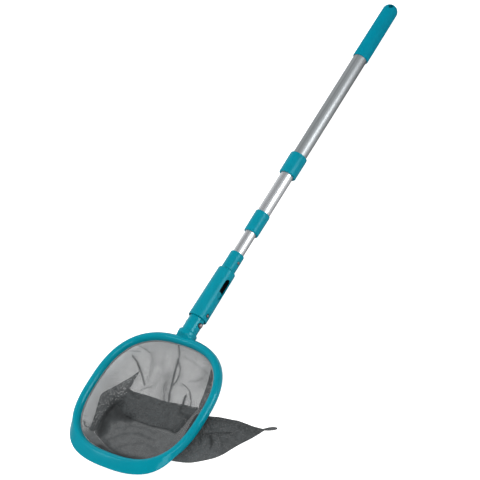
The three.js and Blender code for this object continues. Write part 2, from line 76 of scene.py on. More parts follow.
ROW_SIDES = 64
STEM_RADIUS = 16.0
STEM_BORE = 13.6
STEM_END_Y = 67.0
NECK_RADIUS = 19.4
THUMB_Y = -12.5
THUMB_HOLE_RADIUS = 5.65
LOCK_PIN_Y = 11.5
PIN_HOLE_RADIUS = 3.65
CUTTER_REACH = 30.0
SOFT_ANGLE = 38.0


def smoothstep(value, low, high):
    share = np.clip((value - low) / (high - low), 0.0, 1.0)
    return share * share * (3.0 - 2.0 * share)


def place(points):
    """Points in millimetres as a list of metre vectors."""
    return [Vector(point) * 0.001 for point in points]


def soften(piece, soft_angle=SOFT_ANGLE):
    """Smooth shading, with edges sharper than the angle kept crisp."""
    piece.data.shade_smooth()
    piece.data.set_sharp_from_angle(angle=math.radians(soft_angle))


def add_object(name, data):
    """A new object in the scene."""
    made = bpy.data.objects.new(name, data)
    bpy.context.scene.collection.objects.link(made)
    return made


def new_piece(name, points, faces, materials, soft_angle=SOFT_ANGLE):
    """A mesh object at the origin from points in millimetres."""
    mesh = bpy.data.meshes.new(name)
    mesh.from_pydata(place(points), [], faces)
    built = bmesh.new()
    built.from_mesh(mesh)
    bmesh.ops.remove_doubles(built, verts=built.verts, dist=1e-6)
    bmesh.ops.dissolve_degenerate(built, edges=built.edges, dist=1e-7)
    bmesh.ops.recalc_face_normals(built, faces=built.faces)
    built.to_mesh(mesh)
    built.free()
    piece = add_object(name, mesh)
    for material in materials:
        mesh.materials.append(material)
    soften(piece, soft_angle)
    return piece


def evaluated_mesh(piece):
    """The mesh of an object with its modifiers applied."""
    bpy.context.view_layer.update()
    evaluated = piece.evaluated_get(bpy.context.evaluated_depsgraph_get())
    return bpy.data.meshes.new_from_object(evaluated)


def combine(piece, others, operation):
    """Cut or join a piece exactly with others, which are used up."""
    for other in others:
        modifier = piece.modifiers.new("combine", "BOOLEAN")
        modifier.operation = operation
        modifier.solver = "EXACT"
        modifier.object = other
    made = evaluated_mesh(piece)
    piece.modifiers.clear()
    old = piece.data
    piece.data = made
    made.name = piece.name
    bpy.data.meshes.remove(old)
    for other in others:
        bpy.data.objects.remove(other)
    soften(piece)
    return piece


def tube_faces(rows, count, closed=False):
    """Quads between rows of the same number of points, each row a closed loop."""
    faces = []
    for i in range(rows if closed else rows - 1):
        here = i * count
        there = ((i + 1) % rows) * count
        for j in range(count):
            k = (j + 1) % count
            faces.append((here + j, here + k, there + k, there + j))
    return faces


def even_loop(points, count):
    """The same closed loop with its points evenly spaced along it."""
    closed = np.vstack([points, points[:1]])
    steps = np.linalg.norm(np.diff(closed, axis=0), axis=1)
    along = np.concatenate([[0.0], np.cumsum(steps)])
    wanted = np.linspace(0.0, along[-1], count, endpoint=False)
    return np.stack([np.interp(wanted, along, closed[:, axis]) for axis in (0, 1)], axis=1)


def signed_power(value, power):
    """A power of the value's size that keeps its sign."""
    return np.sign(value) * np.abs(value) ** power


def rim_path(count, out=0.0):
    """Plan points of the rim's centre line moved outwards, with outward normals."""
    turn = np.linspace(0.0, 2.0 * math.pi, FINE_STEPS, endpoint=False)
    power = 2.0 / np.where(np.sin(turn) > 0.0, NECK_SQUARENESS, LIP_SQUARENESS)
    x = RIM_HALF_WIDTH * signed_power(np.cos(turn), power)
    y = RIM_HALF_LENGTH * signed_power(np.sin(turn), power)
    line = even_loop(np.stack([x, y], axis=1), count)
    ahead = np.roll(line, -1, axis=0) - np.roll(line, 1, axis=0)
    normal = np.stack([ahead[:, 1], -ahead[:, 0]], axis=1)
    normal /= np.linalg.norm(normal, axis=1)[:, None]
    middle = np.array([RIM_SHIFT_X, RIM_MIDDLE_Y + RIM_SHIFT_Y])
    return line + out * normal + middle, normal


def lip_share(y):
    """How far the lip is out at this place along the rim, from 0 to 1."""
    forward = max(0.0, (RIM_MIDDLE_Y - y) / RIM_HALF_LENGTH)
    return float(smoothstep(forward ** (LIP_SQUARENESS / 2.0), LIP_START, LIP_FULL))


def rim_section(lip):
    """Section points (out, up), anticlockwise round the outside, then the groove."""
    in_tube = RIM_RADIUS - LIP_TIP_RADIUS
    edge = in_tube + (LIP_REACH - LIP_TIP_RADIUS - in_tube) * lip
    tips = [(edge, -LIP_TIP_DROP * lip), (LIP_FLAT_WIDTH * lip, -in_tube)]
    lower = math.asin((GROOVE_DROP + GROOVE_MOUTH / 2.0) / RIM_RADIUS)
    upper = math.asin((GROOVE_DROP - GROOVE_MOUTH / 2.0) / RIM_RADIUS)
    points = []
    for turn in np.linspace(-math.pi + lower, math.pi + upper, RIM_SECTION_STEPS):
        way = (math.cos(turn), math.sin(turn))
        best, reach = (RIM_RADIUS * way[0], RIM_RADIUS * way[1]), RIM_RADIUS
        for tip in tips:
            support = tip[0] * way[0] + tip[1] * way[1] + LIP_TIP_RADIUS
            if support > reach + 1e-9:
                reach = support
                best = (tip[0] + LIP_TIP_RADIUS * way[0], tip[1] + LIP_TIP_RADIUS * way[1])
        across = RIM_FLANK if best[0] < 0.0 else 1.0 + (RIM_FLANK - 1.0) * (1.0 - lip)
        points.append((best[0] * across, best[1] * (RIM_CROWN if best[1] > 0.0 else 1.0)))
    open_half = math.asin(GROOVE_MOUTH / 2.0 / GROOVE_RADIUS)
    for turn in np.linspace(math.pi - open_half, -math.pi + open_half, GROOVE_STEPS):
        points.append((GROOVE_OUT + GROOVE_RADIUS * math.cos(turn),
                       -GROOVE_DROP + GROOVE_RADIUS * math.sin(turn)))
    return points


def circle(sides):
    """Cosine and sine of even steps once round a circle."""
    return [(math.cos(turn), math.sin(turn))
            for turn in np.linspace(0.0, 2.0 * math.pi, sides, endpoint=False)]


def rounded_row(y, half_width, half_height, squareness):
    """A rounded loop across the pole at one y."""
    power = 2.0 / squareness
    return [(half_width * signed_power(across, power), y,
             AXIS_HEIGHT + half_height * signed_power(up, power))
            for across, up in circle(ROW_SIDES)]


def lofted(name, rows, materials, soft_angle=SOFT_ANGLE):
    """A body through loops of the same number of points, closed at both ends."""
    count = len(rows[0])
    points = [point for row in rows for point in row]
    faces = tube_faces(len(rows), count)
    faces.append(tuple(range(count)))
    faces.append(tuple(range(len(points) - count, len(points))))
    return new_piece(name, points, faces, materials, soft_angle)


def cross_bar(radius, y, turn=0.0, sides=48):
    """A round cutter across the pole, turned about the pole from the X direction."""
    rows = []
    for reach in (-CUTTER_REACH, CUTTER_REACH):
        rows.append([(reach * math.cos(turn) - radius * up * math.sin(turn), y + radius * along,
                      AXIS_HEIGHT + reach * math.sin(turn) + radius * up * math.cos(turn))
                     for along, up in circle(sides)])
    return lofted("cutter", rows, [])


def open_tree(name, tree_kind, inputs):
    """A node tree with named inputs, and the sockets that give their values. An input
    is given as its default value, or as the kind of socket if it has none."""
    tree = bpy.data.node_groups.new(name, tree_kind)
    for label, value in inputs.items():
        if isinstance(value, str):
            kind = value
        elif isinstance(value, int):
            kind = "Int"
        else:
            kind = {1: "Float", 3: "Vector", 4: "Color"}[np.size(value)]
        socket = tree.interface.new_socket(name=label, in_out="INPUT",
                                           socket_type="NodeSocket" + kind)
        if not isinstance(value, str):
            socket.default_value = value
    return tree, tree.nodes.new("NodeGroupInput").outputs


def close_tree(tree, results):
    """Give a node tree its named outputs, each from a socket inside it."""
    kinds = {"Colour": "Color", "Geometry": "Geometry"}
    for label in results:
        tree.interface.new_socket(name=label, in_out="OUTPUT",
                                  socket_type="NodeSocket" + kinds.get(label, "Float"))
    end = tree.nodes.new("NodeGroupOutput")
    for label, socket in results.items():
        tree.links.new(socket, end.inputs[label])
    return tree


def add_node(tree, kind, links=None, **settings):
    """A node with its settings, and its inputs set to values or linked sockets."""
    node = tree.nodes.new(kind)
    for key, value in settings.items():
        setattr(node, key, value)
    for key, value in (links or {}).items():
        if isinstance(value, bpy.types.NodeSocket):
            tree.links.new(value, node.inputs[key])
        else:
            node.inputs[key].default_value = value
    return node


def maths(tree, operation, *values, **settings):
    """The result socket of one maths step on values or sockets."""
    return add_node(tree, "ShaderNodeMath", dict(enumerate(values)), operation=operation,
                    **settings).outputs[0]


def remap(tree, value, low, high, new_low=0.0, new_high=1.0, **settings):
    """The range of a value from low to high stretched to a new range."""
    return add_node(tree, "ShaderNodeMapRange",
                    {"Value": value, "From Min": low, "From Max": high, "To Min": new_low,
                     "To Max": new_high}, **settings).outputs[0]


def clouds(tree, where, scale, detail):
    """A soft uneven pattern from 0 to 1."""
    return add_node(tree, "ShaderNodeTexNoise",
                    {"Vector": where, "Scale": scale, "Detail": detail}).outputs["Fac"]


def shades(tree, pattern, low, high, variation):
    """A pattern from low to high as a shade that varies to both sides of 1."""
    return remap(tree, pattern, low, high, maths(tree, "SUBTRACT", 1.0, variation),
                 maths(tree, "ADD", 1.0, variation))


def tinted(tree, colour, shade):
    """A colour made darker or lighter by a shade."""
    return add_node(tree, "ShaderNodeVectorMath", {0: colour, "Scale": shade},
                    operation="SCALE").outputs[0]


def srgb(red, green, blue):
    """A colour given in 8-bit sRGB steps, as linear values."""
    return tuple((c / 255.0 / 12.92) if c <= 10 else ((c / 255.0 + 0.055) / 1.055) ** 2.4
                 for c in (red, green, blue)) + (1.0,)


def moulded_plastic_group():
    """Moulded plastic: slow colour and gloss variation, and a fine spark-eroded grain."""
    group, given = open_tree("moulded_plastic", "ShaderNodeTree", {
        "Colour": (0.5, 0.5, 0.5, 1.0), "Roughness": 0.4, "Colour variation": 0.05,
        "Gloss variation": 0.08, "Grain size": 0.0008})
    where = add_node(group, "ShaderNodeTexCoord").outputs["Object"]
    slow = clouds(group, where, 45.0, 3.0)
    grain = clouds(group, where, maths(group, "DIVIDE", 1.0, given["Grain size"]), 2.0)
    shade = shades(group, slow, 0.3, 0.7, given["Colour variation"])
    gloss = maths(group, "MULTIPLY_ADD", slow, given["Gloss variation"], given["Roughness"])
    return close_tree(group, {"Colour": tinted(group, given["Colour"], shade),
                              "Roughness": gloss, "Height": grain})


MOULDED = moulded_plastic_group()


def surface(name, group, values, bump=0.1, bump_distance=0.0002, solid=True, **constants):
    """A material from a shared node group and a plain shader. Open cloth is not solid."""
    material = bpy.data.materials.new(name)
    material.use_nodes = True
    tree = material.node_tree
    shader = tree.nodes["Principled BSDF"]
    for key, value in constants.items():
        shader.inputs[key.replace("_", " ")].default_value = value
    look = add_node(tree, "ShaderNodeGroup", node_tree=group)
    for key, value in values.items():
        look.inputs[key].default_value = value
    targets = {"Colour": "Base Color", "Roughness": "Roughness"}
    if not solid:
        targets["Cover"] = "Alpha"
    for label, target in targets.items():
        if label in look.outputs:
            tree.links.new(look.outputs[label], shader.inputs[target])
    height = add_node(tree, "ShaderNodeBump",
                      {"Height": look.outputs["Height"], "Strength": bump,
                       "Distance": bump_distance})
    tree.links.new(height.outputs["Normal"], shader.inputs["Normal"])
    return material


teal_moulding = surface(
    "teal_moulding", MOULDED,
    {"Colour": srgb(0, 139, 157), "Roughness": 0.09, "Colour variation": 0.03,
     "Gloss variation": 0.08, "Grain size": 0.0009},
    bump=0.03, Specular_IOR_Level=0.2, Specular_Tint=(0.5, 0.95, 1.0, 1.0))


def make_net_frame():
    line, normal = rim_path(RIM_STATIONS)
    points = []
    for (x, y), (across, along) in zip(line, normal):
        for out, up in rim_section(lip_share(y)):
            points.append((x + out * across, y + out * along, AXIS_HEIGHT + up))
    faces = tube_faces(RIM_STATIONS, len(points) // RIM_STATIONS, closed=True)
    rim = new_piece("net_frame_moulding", points, faces, [teal_moulding])

    # The neck: offset from the rim's edge, half width, half height and squareness.
    neck_y = RIM_MIDDLE_Y + RIM_HALF_LENGTH
    flare = [(-2.0, 26.6, 7.5, 2.2), (3.9, 24.6, 8.9, 2.2), (5.2, 23.3, 10.2, 2.2),
             (6.4, 22.0, 11.8, 2.2), (7.4, 20.9, 13.4, 2.15), (8.2, 20.2, 15.0, 2.1),
             (9.0, 19.7, 16.6, 2.05), (9.8, 19.5, 17.8, 2.0), (10.8, 19.4, 18.7, 2.0),
             (12.2, 19.4, 19.2, 2.0), (13.8, 19.4, 19.4, 2.0)]
    rows = [rounded_row(neck_y + offset, *shape) for offset, *shape in flare]
    # The step down to the stem, the stem and its bore: place along the pole and radius.
    stem = [(neck_y + 18.6, NECK_RADIUS), (neck_y + 19.1, NECK_RADIUS - 0.15),
            (neck_y + 19.45, NECK_RADIUS - 0.5), (neck_y + 19.6, NECK_RADIUS - 1.0),
            (neck_y + 19.6, STEM_RADIUS + 1.4), (neck_y + 19.8, STEM_RADIUS + 0.5),
            (neck_y + 20.3, STEM_RADIUS + 0.1), (neck_y + 21.4, STEM_RADIUS),
            (STEM_END_Y - 1.2, STEM_RADIUS),
            (STEM_END_Y - 0.35, STEM_RADIUS - 0.35), (STEM_END_Y, STEM_RADIUS - 1.2),
            (STEM_END_Y, STEM_BORE + 0.4), (STEM_END_Y - 0.4, STEM_BORE),
            (neck_y + 19.0, STEM_BORE)]
    rows += [rounded_row(y, radius, radius, 2.0) for y, radius in stem]
    neck = lofted("neck", rows, [teal_moulding])
    combine(rim, [neck], "UNION")
    return combine(rim, [cross_bar(THUMB_HOLE_RADIUS, THUMB_Y),
                         cross_bar(PIN_HOLE_RADIUS, LOCK_PIN_Y)], "DIFFERENCE")


net_frame_moulding = make_net_frame()
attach(net_frame_moulding, "head")
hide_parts("net_frame")


# ------------------------------------------------------------------ hem of the bag
# A woven tape sewn to the mouth of the bag, with a cord bead that is pressed into
# the rim's groove. A row of stitches holds the mesh to the tape.
TAPE_OUT = -8.9
TAPE_THICKNESS = 1.1
TAPE_HEIGHT = 3.6
TAPE_MIDDLE_HEIGHT = 17.5
STITCH_OUT = TAPE_OUT - TAPE_THICKNESS / 2.0 - 0.15
STITCH_HEIGHT = 16.7
STITCH_SWAY = 0.25
PATH_STEPS = 240


def end_of_tree(tree, geometry, given):
    """End a Geometry Nodes tree in real geometry with the given material."""
    real = add_node(tree, "GeometryNodeRealizeInstances", {"Geometry": geometry})
    coloured = add_node(tree, "GeometryNodeSetMaterial",
                        {"Geometry": real.outputs[0], "Material": given["Material"]})
    return close_tree(tree, {"Geometry": coloured.outputs[0]})


def band_tree():
    """A flat band swept along a line, standing up from it."""
    tree, given = open_tree("band_along_path", "GeometryNodeTree", {
        "Geometry": "Geometry", "Thickness": 0.001, "Height": 0.009, "Material": "Material"})
    profile = add_node(tree, "GeometryNodeCurvePrimitiveQuadrilateral",
                       {"Width": given["Thickness"], "Height": given["Height"]})
    rounded = add_node(tree, "GeometryNodeFilletCurve",
                       {"Curve": profile.outputs["Curve"], "Count": 3, "Radius": 0.0004,
                        "Limit Radius": True}, mode="POLY")
    swept = add_node(tree, "GeometryNodeCurveToMesh",
                     {"Curve": given["Geometry"], "Profile Curve": rounded.outputs["Curve"]})
    return end_of_tree(tree, swept.outputs["Mesh"], given)


def stitch_tree():
    """Thread stitches set at an even pitch along a line."""
    tree, given = open_tree("stitches_along_path", "GeometryNodeTree", {
        "Geometry": "Geometry", "Pitch": 0.004, "Length": 0.003, "Thread radius": 0.0003,
        "Seed": 4, "Material": "Material"})
    spots = add_node(tree, "GeometryNodeCurveToPoints",
                     {"Curve": given["Geometry"], "Length": given["Pitch"]}, mode="LENGTH")
    thread = add_node(tree, "GeometryNodeMeshCylinder",
                      {"Vertices": 6, "Side Segments": 1, "Radius": given["Thread radius"],
                       "Depth": given["Length"]})
    sway = add_node(tree, "FunctionNodeRandomValue",
                    {2: -STITCH_SWAY, 3: STITCH_SWAY, "Seed": given["Seed"]}, data_type="FLOAT")
    tilt = add_node(tree, "ShaderNodeCombineXYZ", {"Y": sway.outputs[1]})
    set_in = add_node(tree, "GeometryNodeInstanceOnPoints",
                      {"Points": spots.outputs["Points"], "Instance": thread.outputs["Mesh"],
                       "Rotation": spots.outputs["Rotation"]})
    turned_in = add_node(tree, "GeometryNodeRotateInstances",
                         {"Instances": set_in.outputs[0], "Rotation": tilt.outputs[0]})
    return end_of_tree(tree, turned_in.outputs[0], given)


def along_rim(name, out, height, tree, values):
    """Run a Geometry Nodes tree on the rim's line moved out, and keep the plain mesh."""
    points = place([(x, y, height) for x, y in rim_path(PATH_STEPS, out)[0]])
    data = bpy.data.curves.new(name, "CURVE")
    data.dimensions = "3D"
    line = data.splines.new("POLY")
    line.points.add(len(points) - 1)
    for spot, point in zip(line.points, points):
        spot.co = (*point, 1.0)
    line.use_cyclic_u = True
    source = add_object(name + "_path", data)
    modifier = source.modifiers.new("grow", "NODES")
    modifier.node_group = tree
    for item in tree.interface.items_tree:
        if item.in_out == "INPUT" and item.name in values:
            modifier[item.identifier] = values[item.name]
    mesh = evaluated_mesh(source)
    mesh.name = name
    bpy.data.objects.remove(source)
    piece = add_object(name, mesh)
    soften(piece)
    return piece


def woven_group():
    """Plain weave: warp and weft threads from a flat map in metres, with open gaps."""
    group, given = open_tree("plain_weave", "ShaderNodeTree", {
        "Colour": (0.5, 0.5, 0.5, 1.0), "Pitch": 0.0015, "Thread cover": 0.9, "Gap cover": 0.5,
        "Gathered cover": 0.97, "Gather": 0.0, "Fold shadow": 0.0, "Mottle": 0.0,
        "Shade variation": 0.15, "Map": (0.0, 0.0, 0.0)})
    split = add_node(group, "ShaderNodeSeparateXYZ", {0: given["Map"]})
    threads = []
    for axis in ("X", "Y"):
        turns = maths(group, "DIVIDE", split.outputs[axis], given["Pitch"])
        wave = maths(group, "COSINE", maths(group, "MULTIPLY", turns, 2.0 * math.pi))
        threads.append(remap(group, wave, 0.17, 0.77))
    cloth = maths(group, "MAXIMUM", *threads)
    cover = remap(group, cloth, 0.0, 1.0, given["Gap cover"], given["Thread cover"])
    full = add_node(group, "ShaderNodeMix",
                    {"Factor": given["Gather"], 2: cover, 3: given["Gathered cover"]},
                    data_type="FLOAT", clamp_factor=False)
    cells = add_node(group, "ShaderNodeTexVoronoi", {"Vector": given["Map"], "Scale": 290.0})
    speckle = remap(group, cells.outputs["Distance"], 0.15, 0.45, -1.0, 0.12)
    mottled = maths(group, "MULTIPLY_ADD", speckle, given["Mottle"], full.outputs[0],
                    use_clamp=True)
    slow = clouds(group, given["Map"], 90.0, 4.0)
    shade = shades(group, slow, 0.3, 0.7, given["Shade variation"])
    # Painted shade: the fold shadow darkens the thread colour, and where it is below zero it paints
    # light.
    lit = maths(group, "MULTIPLY", shade, maths(group, "SUBTRACT", 1.0, given["Fold shadow"]))
    return close_tree(group, {"Colour": tinted(group, given["Colour"], lit),
                              "Cover": mottled, "Height": cloth})


def feed(material, label, kind, output, **settings):
    """Feed an input of a material's shared look from a node that reads the mesh."""
    tree = material.node_tree
    source = add_node(tree, kind, **settings)
    tree.links.new(source.outputs[output], tree.nodes["Group"].inputs[label])


def repaint(node, material):
    """Give a part that is shown as its CAD solid a material of the scene's own."""
    mesh = bpy.data.objects[node].data
    mesh.materials.clear()
    mesh.materials.append(material)


WOVEN = woven_group()
hem_tape = surface(
    "hem_tape", WOVEN,
    {"Colour": srgb(150, 152, 153), "Pitch": 0.0012, "Thread cover": 0.95, "Gap cover": 0.7,
     "Shade variation": 0.12},
    bump=0.5, solid=False, Roughness=0.85, Specular_IOR_Level=0.2)
feed(hem_tape, "Map", "ShaderNodeTexCoord", "Object")
tape = along_rim(
    "hem_tape_woven", TAPE_OUT, TAPE_MIDDLE_HEIGHT, band_tree(),
    {"Thickness": TAPE_THICKNESS * 0.001, "Height": TAPE_HEIGHT * 0.001, "Material": hem_tape})
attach(tape, "head")
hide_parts("net_hem_tape")

seam_thread = surface(
    "seam_thread", MOULDED, {"Colour": srgb(128, 130, 131), "Roughness": 0.8, "Grain size": 0.0004},
    bump=0.3, Specular_IOR_Level=0.2)
stitches = along_rim(
    "hem_stitches", STITCH_OUT, STITCH_HEIGHT, stitch_tree(),
    {"Pitch": 0.0042, "Length": 0.003, "Thread radius": 0.00028, "Seed": 7,
     "Material": seam_thread})
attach(stitches, "head")

repaint("hem_bead_cord", hem_tape)


# ------------------------------------------------------------------- bag of mesh
# A bag of fine plain-woven mesh, laid flat. Its floor lies on the ground inside
# the rim, folded over itself towards the lip, and its loose end runs out under
# the rim to a point. Points here are measured from the middle of the mouth.
DISH_FLOOR = 1.3
DISH_EDGE_HEIGHT = 16.6
DISH_WALL_WIDTH = 22.0
BAG_MOUTH_OUT = TAPE_OUT - TAPE_THICKNESS / 2.0 - 0.12
CLOTH_STEP = 2.2
OUTLINE_STEP = 1.6
WIDE_CREASE = 10.0
HELD_EDGE = 12.0
FOLD_EDGE = 9.0
TAIL_EDGE = 30.0
TAIL_HEM = 2.2
TAIL_EDGE_HEIGHT = 0.9
TAIL_RISE = 5.2
GROUND_CLOTH_HEIGHT = 0.3
CLOTH_ATTRIBUTES = {"Gather": "gather", "Fold shadow": "fold_shadow", "Mottle": "mottle"}
FLOOR_OUTLINE = [(-63, 12), (-70, -2), (-80, -20), (-88, -42), (-91, -60), (-90, -78),
                 (-82, -92), (-66, -99), (-46, -107), (-22, -114), (3, -118), (30, -117),
                 (56, -112), (76, -104), (94, -90), (106, -70), (112, -48), (115, -24),
                 (115, 2), (112, 21), (95, 18), (76, 17), (53, 14), (29, 11), (-9, 11),
                 (-45, 10)]
FLAP_OUTLINE = [(-67, 54), (-74, 43), (-84, 29), (-100, 9), (-114, -7), (-118, -12),
                (-119, -20), (-114, -34), (-106, -57), (-99, -78), (-97, -90), (-88, -92),
                (-80, -84), (-82, -66), (-80, -50), (-75, -36), (-69, -26), (-44, -39),
                (-28, -44), (3, -44), (29, -44), (52, -42), (76, -40), (92, -41), (99, -24),
                (102, -4), (106, 20), (95, 19), (76, 18), (53, 15), (29, 12), (-9, 12),
                (-45, 11), (-61, 12), (-65, 26), (-66, 40)]
WEDGE_OUTLINE = [(82, 103), (86, 92), (90, 80), (97, 55), (104, 24), (113, 21), (115, 37),
                 (108, 62), (98, 85), (90, 97)]
TAIL_OUTLINE = [(107, 6), (122, 11), (140, 14), (158, 18), (184, 21), (201, 23), (222, 22.5),
                (238, 22), (254, 23), (264, 23), (262, 19), (256, 10), (246, -3), (231, -20),
                (221, -33), (211, -47), (200, -58), (190, -65), (173, -75), (152, -85),
                (125, -91), (104, -93), (94, -90), (100, -70), (108, -44)]


def smooth_outline(points):
    """A closed smooth line through the points, as evenly spaced points."""
    line = np.array(points, dtype=float)
    before, after = np.roll(line, 1, axis=0), np.roll(line, -1, axis=0)
    further = np.roll(line, -2, axis=0)
    share = np.linspace(0.0, 1.0, 24, endpoint=False)[:, None, None]
    curve = 0.5 * (2.0 * line + (after - before) * share
                   + (2.0 * before - 5.0 * line + 4.0 * after - further) * share ** 2
                   + (3.0 * (line - after) + further - before) * share ** 3)
    dense = curve.transpose(1, 0, 2).reshape(-1, 2)
    length = np.linalg.norm(dense - np.roll(dense, 1, axis=0), axis=1).sum()
    return even_loop(dense, max(12, int(length / OUTLINE_STEP)))


def distance_to(points, line):
    """Distance of each point from a line of straight steps."""
    line = np.array(line, dtype=float)
    best = np.full(len(points), 1e9)
    for start, end in zip(line[:-1], line[1:]):
        way = end - start
        share = np.clip(((points - start) @ way) / max(way @ way, 1e-9), 0.0, 1.0)
        best = np.minimum(best, np.linalg.norm(points - start - share[:, None] * way, axis=1))
    return best


def inside(points, outline):
    """True for each point that lies inside the closed outline."""
    x, y = points[:, 0], points[:, 1]
    crossed = np.zeros(len(points), dtype=bool)
    for (ax, ay), (bx, by) in zip(outline, np.roll(outline, -1, axis=0)):
        spans = (ay > y) != (by > y)
        crossed ^= spans & (x < (bx - ax) * (y - ay) / (by - ay + 1e-12) + ax)
    return crossed


def flat_patch(outline):
    """An even triangle mesh inside an outline, with the distance of its points from it."""
    low, high = outline.min(axis=0), outline.max(axis=0)
    edge = np.vstack([outline, outline[:1]])
    rows = []
    for i, y in enumerate(np.arange(low[1], high[1], CLOTH_STEP * 0.866)):
        x = np.arange(low[0] + (i % 2) * CLOTH_STEP / 2.0, high[0], CLOTH_STEP)
        rows.append(np.stack([x, np.full(len(x), y)], axis=1))
    grid = np.vstack(rows)
    grid = grid[inside(grid, outline)]
    grid = grid[distance_to(grid, edge) > CLOTH_STEP * 0.55]
    points = np.vstack([outline, grid])
    border = [(i, (i + 1) % len(outline)) for i in range(len(outline))]
    made = delaunay_2d_cdt([Vector(p) for p in points], border, [list(range(len(outline)))],
                           1, 1e-5)
    plan = np.array([(v.x, v.y) for v in made[0]])
    return plan, [tuple(face) for face in made[2]], distance_to(plan, edge)


def wrinkle(points, size, seed):
    """Slow uneven height from -1 to 1 over the cloth."""
    return np.array([noise.noise((x / size, y / size, seed)) for x, y in points])


def region(plan, across=None, along=None):
    """From 0 to 1 as x crosses one range and y another. A range may run downwards."""
    share = np.ones(len(plan))
    for axis, span in ((0, across), (1, along)):
        if span:
            share = share * smoothstep(plan[:, axis], *span)
    return share


def creased(points, creases):
    """Height, gather and shadow of the creases. Each has a sharp and a soft side, and a
    wide crease keeps more of its gather over the soft side."""
    height = np.zeros(len(points))
    gather = np.zeros(len(points))
    shadow = np.zeros(len(points))
    for line, sharp, soft, rise, amount, dark in creases:
        away = distance_to(points, line)
        start, end = np.array(line[0], dtype=float), np.array(line[-1], dtype=float)
        way, out = end - start, points - start
        on_soft_side = (way[0] * out[:, 1] - way[1] * out[:, 0]) * soft > 0.0
        wide = np.where(on_soft_side, abs(soft), sharp)
        height += rise * np.exp(-(away / (wide + 1.0)) ** 2)
        lines = np.exp(-(away / sharp) ** 2)
        spread = np.exp(-(away / wide) ** 2)
        share = np.maximum(lines, (0.3 if abs(soft) < WIDE_CREASE else 0.9) * spread)
        gather = np.where(amount < 0.0, gather + amount * lines,
                          np.maximum(gather, amount * share))
        shadow = np.maximum(shadow, dark * share)
    return height, gather, shadow


# Each crease: its line, sharp width, soft width (negative for the right-hand side
# of the line), rise, how closely the cloth is gathered, and its shadow.
THROAT_CREASES = [
    ([(-10, 131), (-4, 116), (1, 101)], 2.4, -4.0, 0.8, 0.7, 0.0),
    ([(1, 101), (6, 84), (11, 69), (21, 46)], 2.6, -9.0, 1.6, 1.0, 0.25),
    ([(-2, 62), (9, 38), (20, 16)], 14.0, 14.0, 0.0, 0.36, 0.0),
    ([(21, 46), (25, 34), (34, 20), (36, 12)], 1.9, -5.0, 1.2, 0.8, 0.08),
    ([(0, 101), (15, 86), (23, 70)], 2.0, 8.0, 1.0, 0.7, 0.0),
    ([(23, 70), (24, 57), (22, 46), (26, 29), (36, 13)], 2.2, 8.0, 1.2, 0.9, 0.15),
    ([(8, 86), (15, 70), (22, 54)], 1.6, 1.6, 0.0, -0.25, 0.0),
    ([(5, 52), (7, 42), (14, 36)], 2.0, -10.0, 1.0, 0.5, 0.05),
    ([(3, 45), (10, 32), (24, 13)], 1.5, 6.0, 0.8, 0.8, 0.1),
    ([(-101, 78), (-87, 71), (-71, 59), (-56, 47), (-39, 31)], 1.5, 4.0, 2.2, 1.0, 0.3),
    ([(-84, 69), (-71, 59)], 2.0, 4.0, 0.6, 1.0, 0.4),
    ([(-132, 66), (-124, 74), (-106, 86), (-91, 91)], 1.0, 4.0, 1.0, 0.45, 0.0),
    ([(-100, 100), (-84, 100), (-66, 96)], 1.1, 6.0, 1.2, 0.6, 0.1),
    ([(-66, 96), (-50, 78), (-44, 60), (-40, 44)], 4.0, 14.0, 2.0, 0.24, 0.0),
    ([(-68, 80), (-58, 66), (-50, 50)], 5.0, 5.0, 1.0, -0.16, 0.0),
    ([(-30, 90), (-18, 70), (-14, 50), (-16, 34)], 5.0, -12.0, 1.5, 0.2, 0.0),
    ([(-36, 70), (-30, 50), (-28, 34)], 5.0, 5.0, 1.0, -0.14, 0.0),
    ([(42, 57), (57, 52), (67, 46), (80, 31), (87, 20)], 1.1, -6.0, 1.8, 0.85, 0.1),
    ([(67, 46), (78, 33)], 1.4, 2.0, 0.5, 1.0, 0.3),
    ([(50, 66), (64, 70), (76, 80)], 1.2, 6.0, 1.0, 0.28, 0.0),
    ([(60, 58), (74, 52), (84, 40)], 5.0, 5.0, 1.0, -0.16, 0.0),
    ([(63, 36), (65, 27), (69, 16)], 2.4, 4.0, 1.4, 1.3, 0.35),
    ([(-42, 18), (-36, 24), (-26, 29), (-20, 31)], 1.0, 5.0, 1.0, 0.55, 0.0),
    ([(-124, -74), (-116, -71)], 0.9, 3.0, 0.5, 0.4, 0.0),
    ([(-111, -82), (-103, -90), (-98, -88)], 1.2, 3.0, 0.8, 0.95, 0.2),
    ([(-114, -98), (-104, -94)], 1.0, 2.0, 0.5, 0.7, 0.1),
    ([(80, 92), (60, 98), (34, 106), (10, 110)], 3.0, 9.0, 1.2, 0.16, 0.0),
    ([(-44, -118), (-20, -124), (10, -127), (56, -121)], 12.0, 12.0, 0.0, 1.2, 0.6),
]
INNER_SHADOW = [
    ([(-74, -28), (-79, -44), (-78, -63), (-72, -84)], 8.0, 18.0, 0.0, 2.2, 0.7),
    ([(-73, -80), (-55, -97), (-33, -106)], 5.0, 8.0, 0.0, 0.8, 0.2),
    ([(-68, -34), (-44, -44), (-22, -42)], 9.0, 9.0, 0.0, 2.0, 0.6),
    ([(-74, -26), (-58, -42)], 18.0, 18.0, 0.0, 2.2, 0.6),
]
FLOOR_CREASES = INNER_SHADOW + [
    ([(-70, -25), (-44, -39), (-28, -45), (3, -44), (29, -44), (52, -42), (76, -40), (93, -42)],
     1.6, 5.0, 0.6, 1.0, 0.3),
    ([(-38, -70), (-10, -56), (24, -52), (50, -54)], 3.0, -9.0, 1.2, 0.7, 0.05),
    ([(-40, -96), (-16, -76), (14, -66), (57, -68)], 3.0, -9.0, 1.4, 0.8, 0.08),
    ([(-18, -112), (8, -92), (40, -80), (70, -84)], 3.5, -11.0, 1.2, 0.6, 0.04),
    ([(-30, -118), (10, -124), (56, -118)], 12.0, 12.0, 0.0, 0.8, 0.1),
]
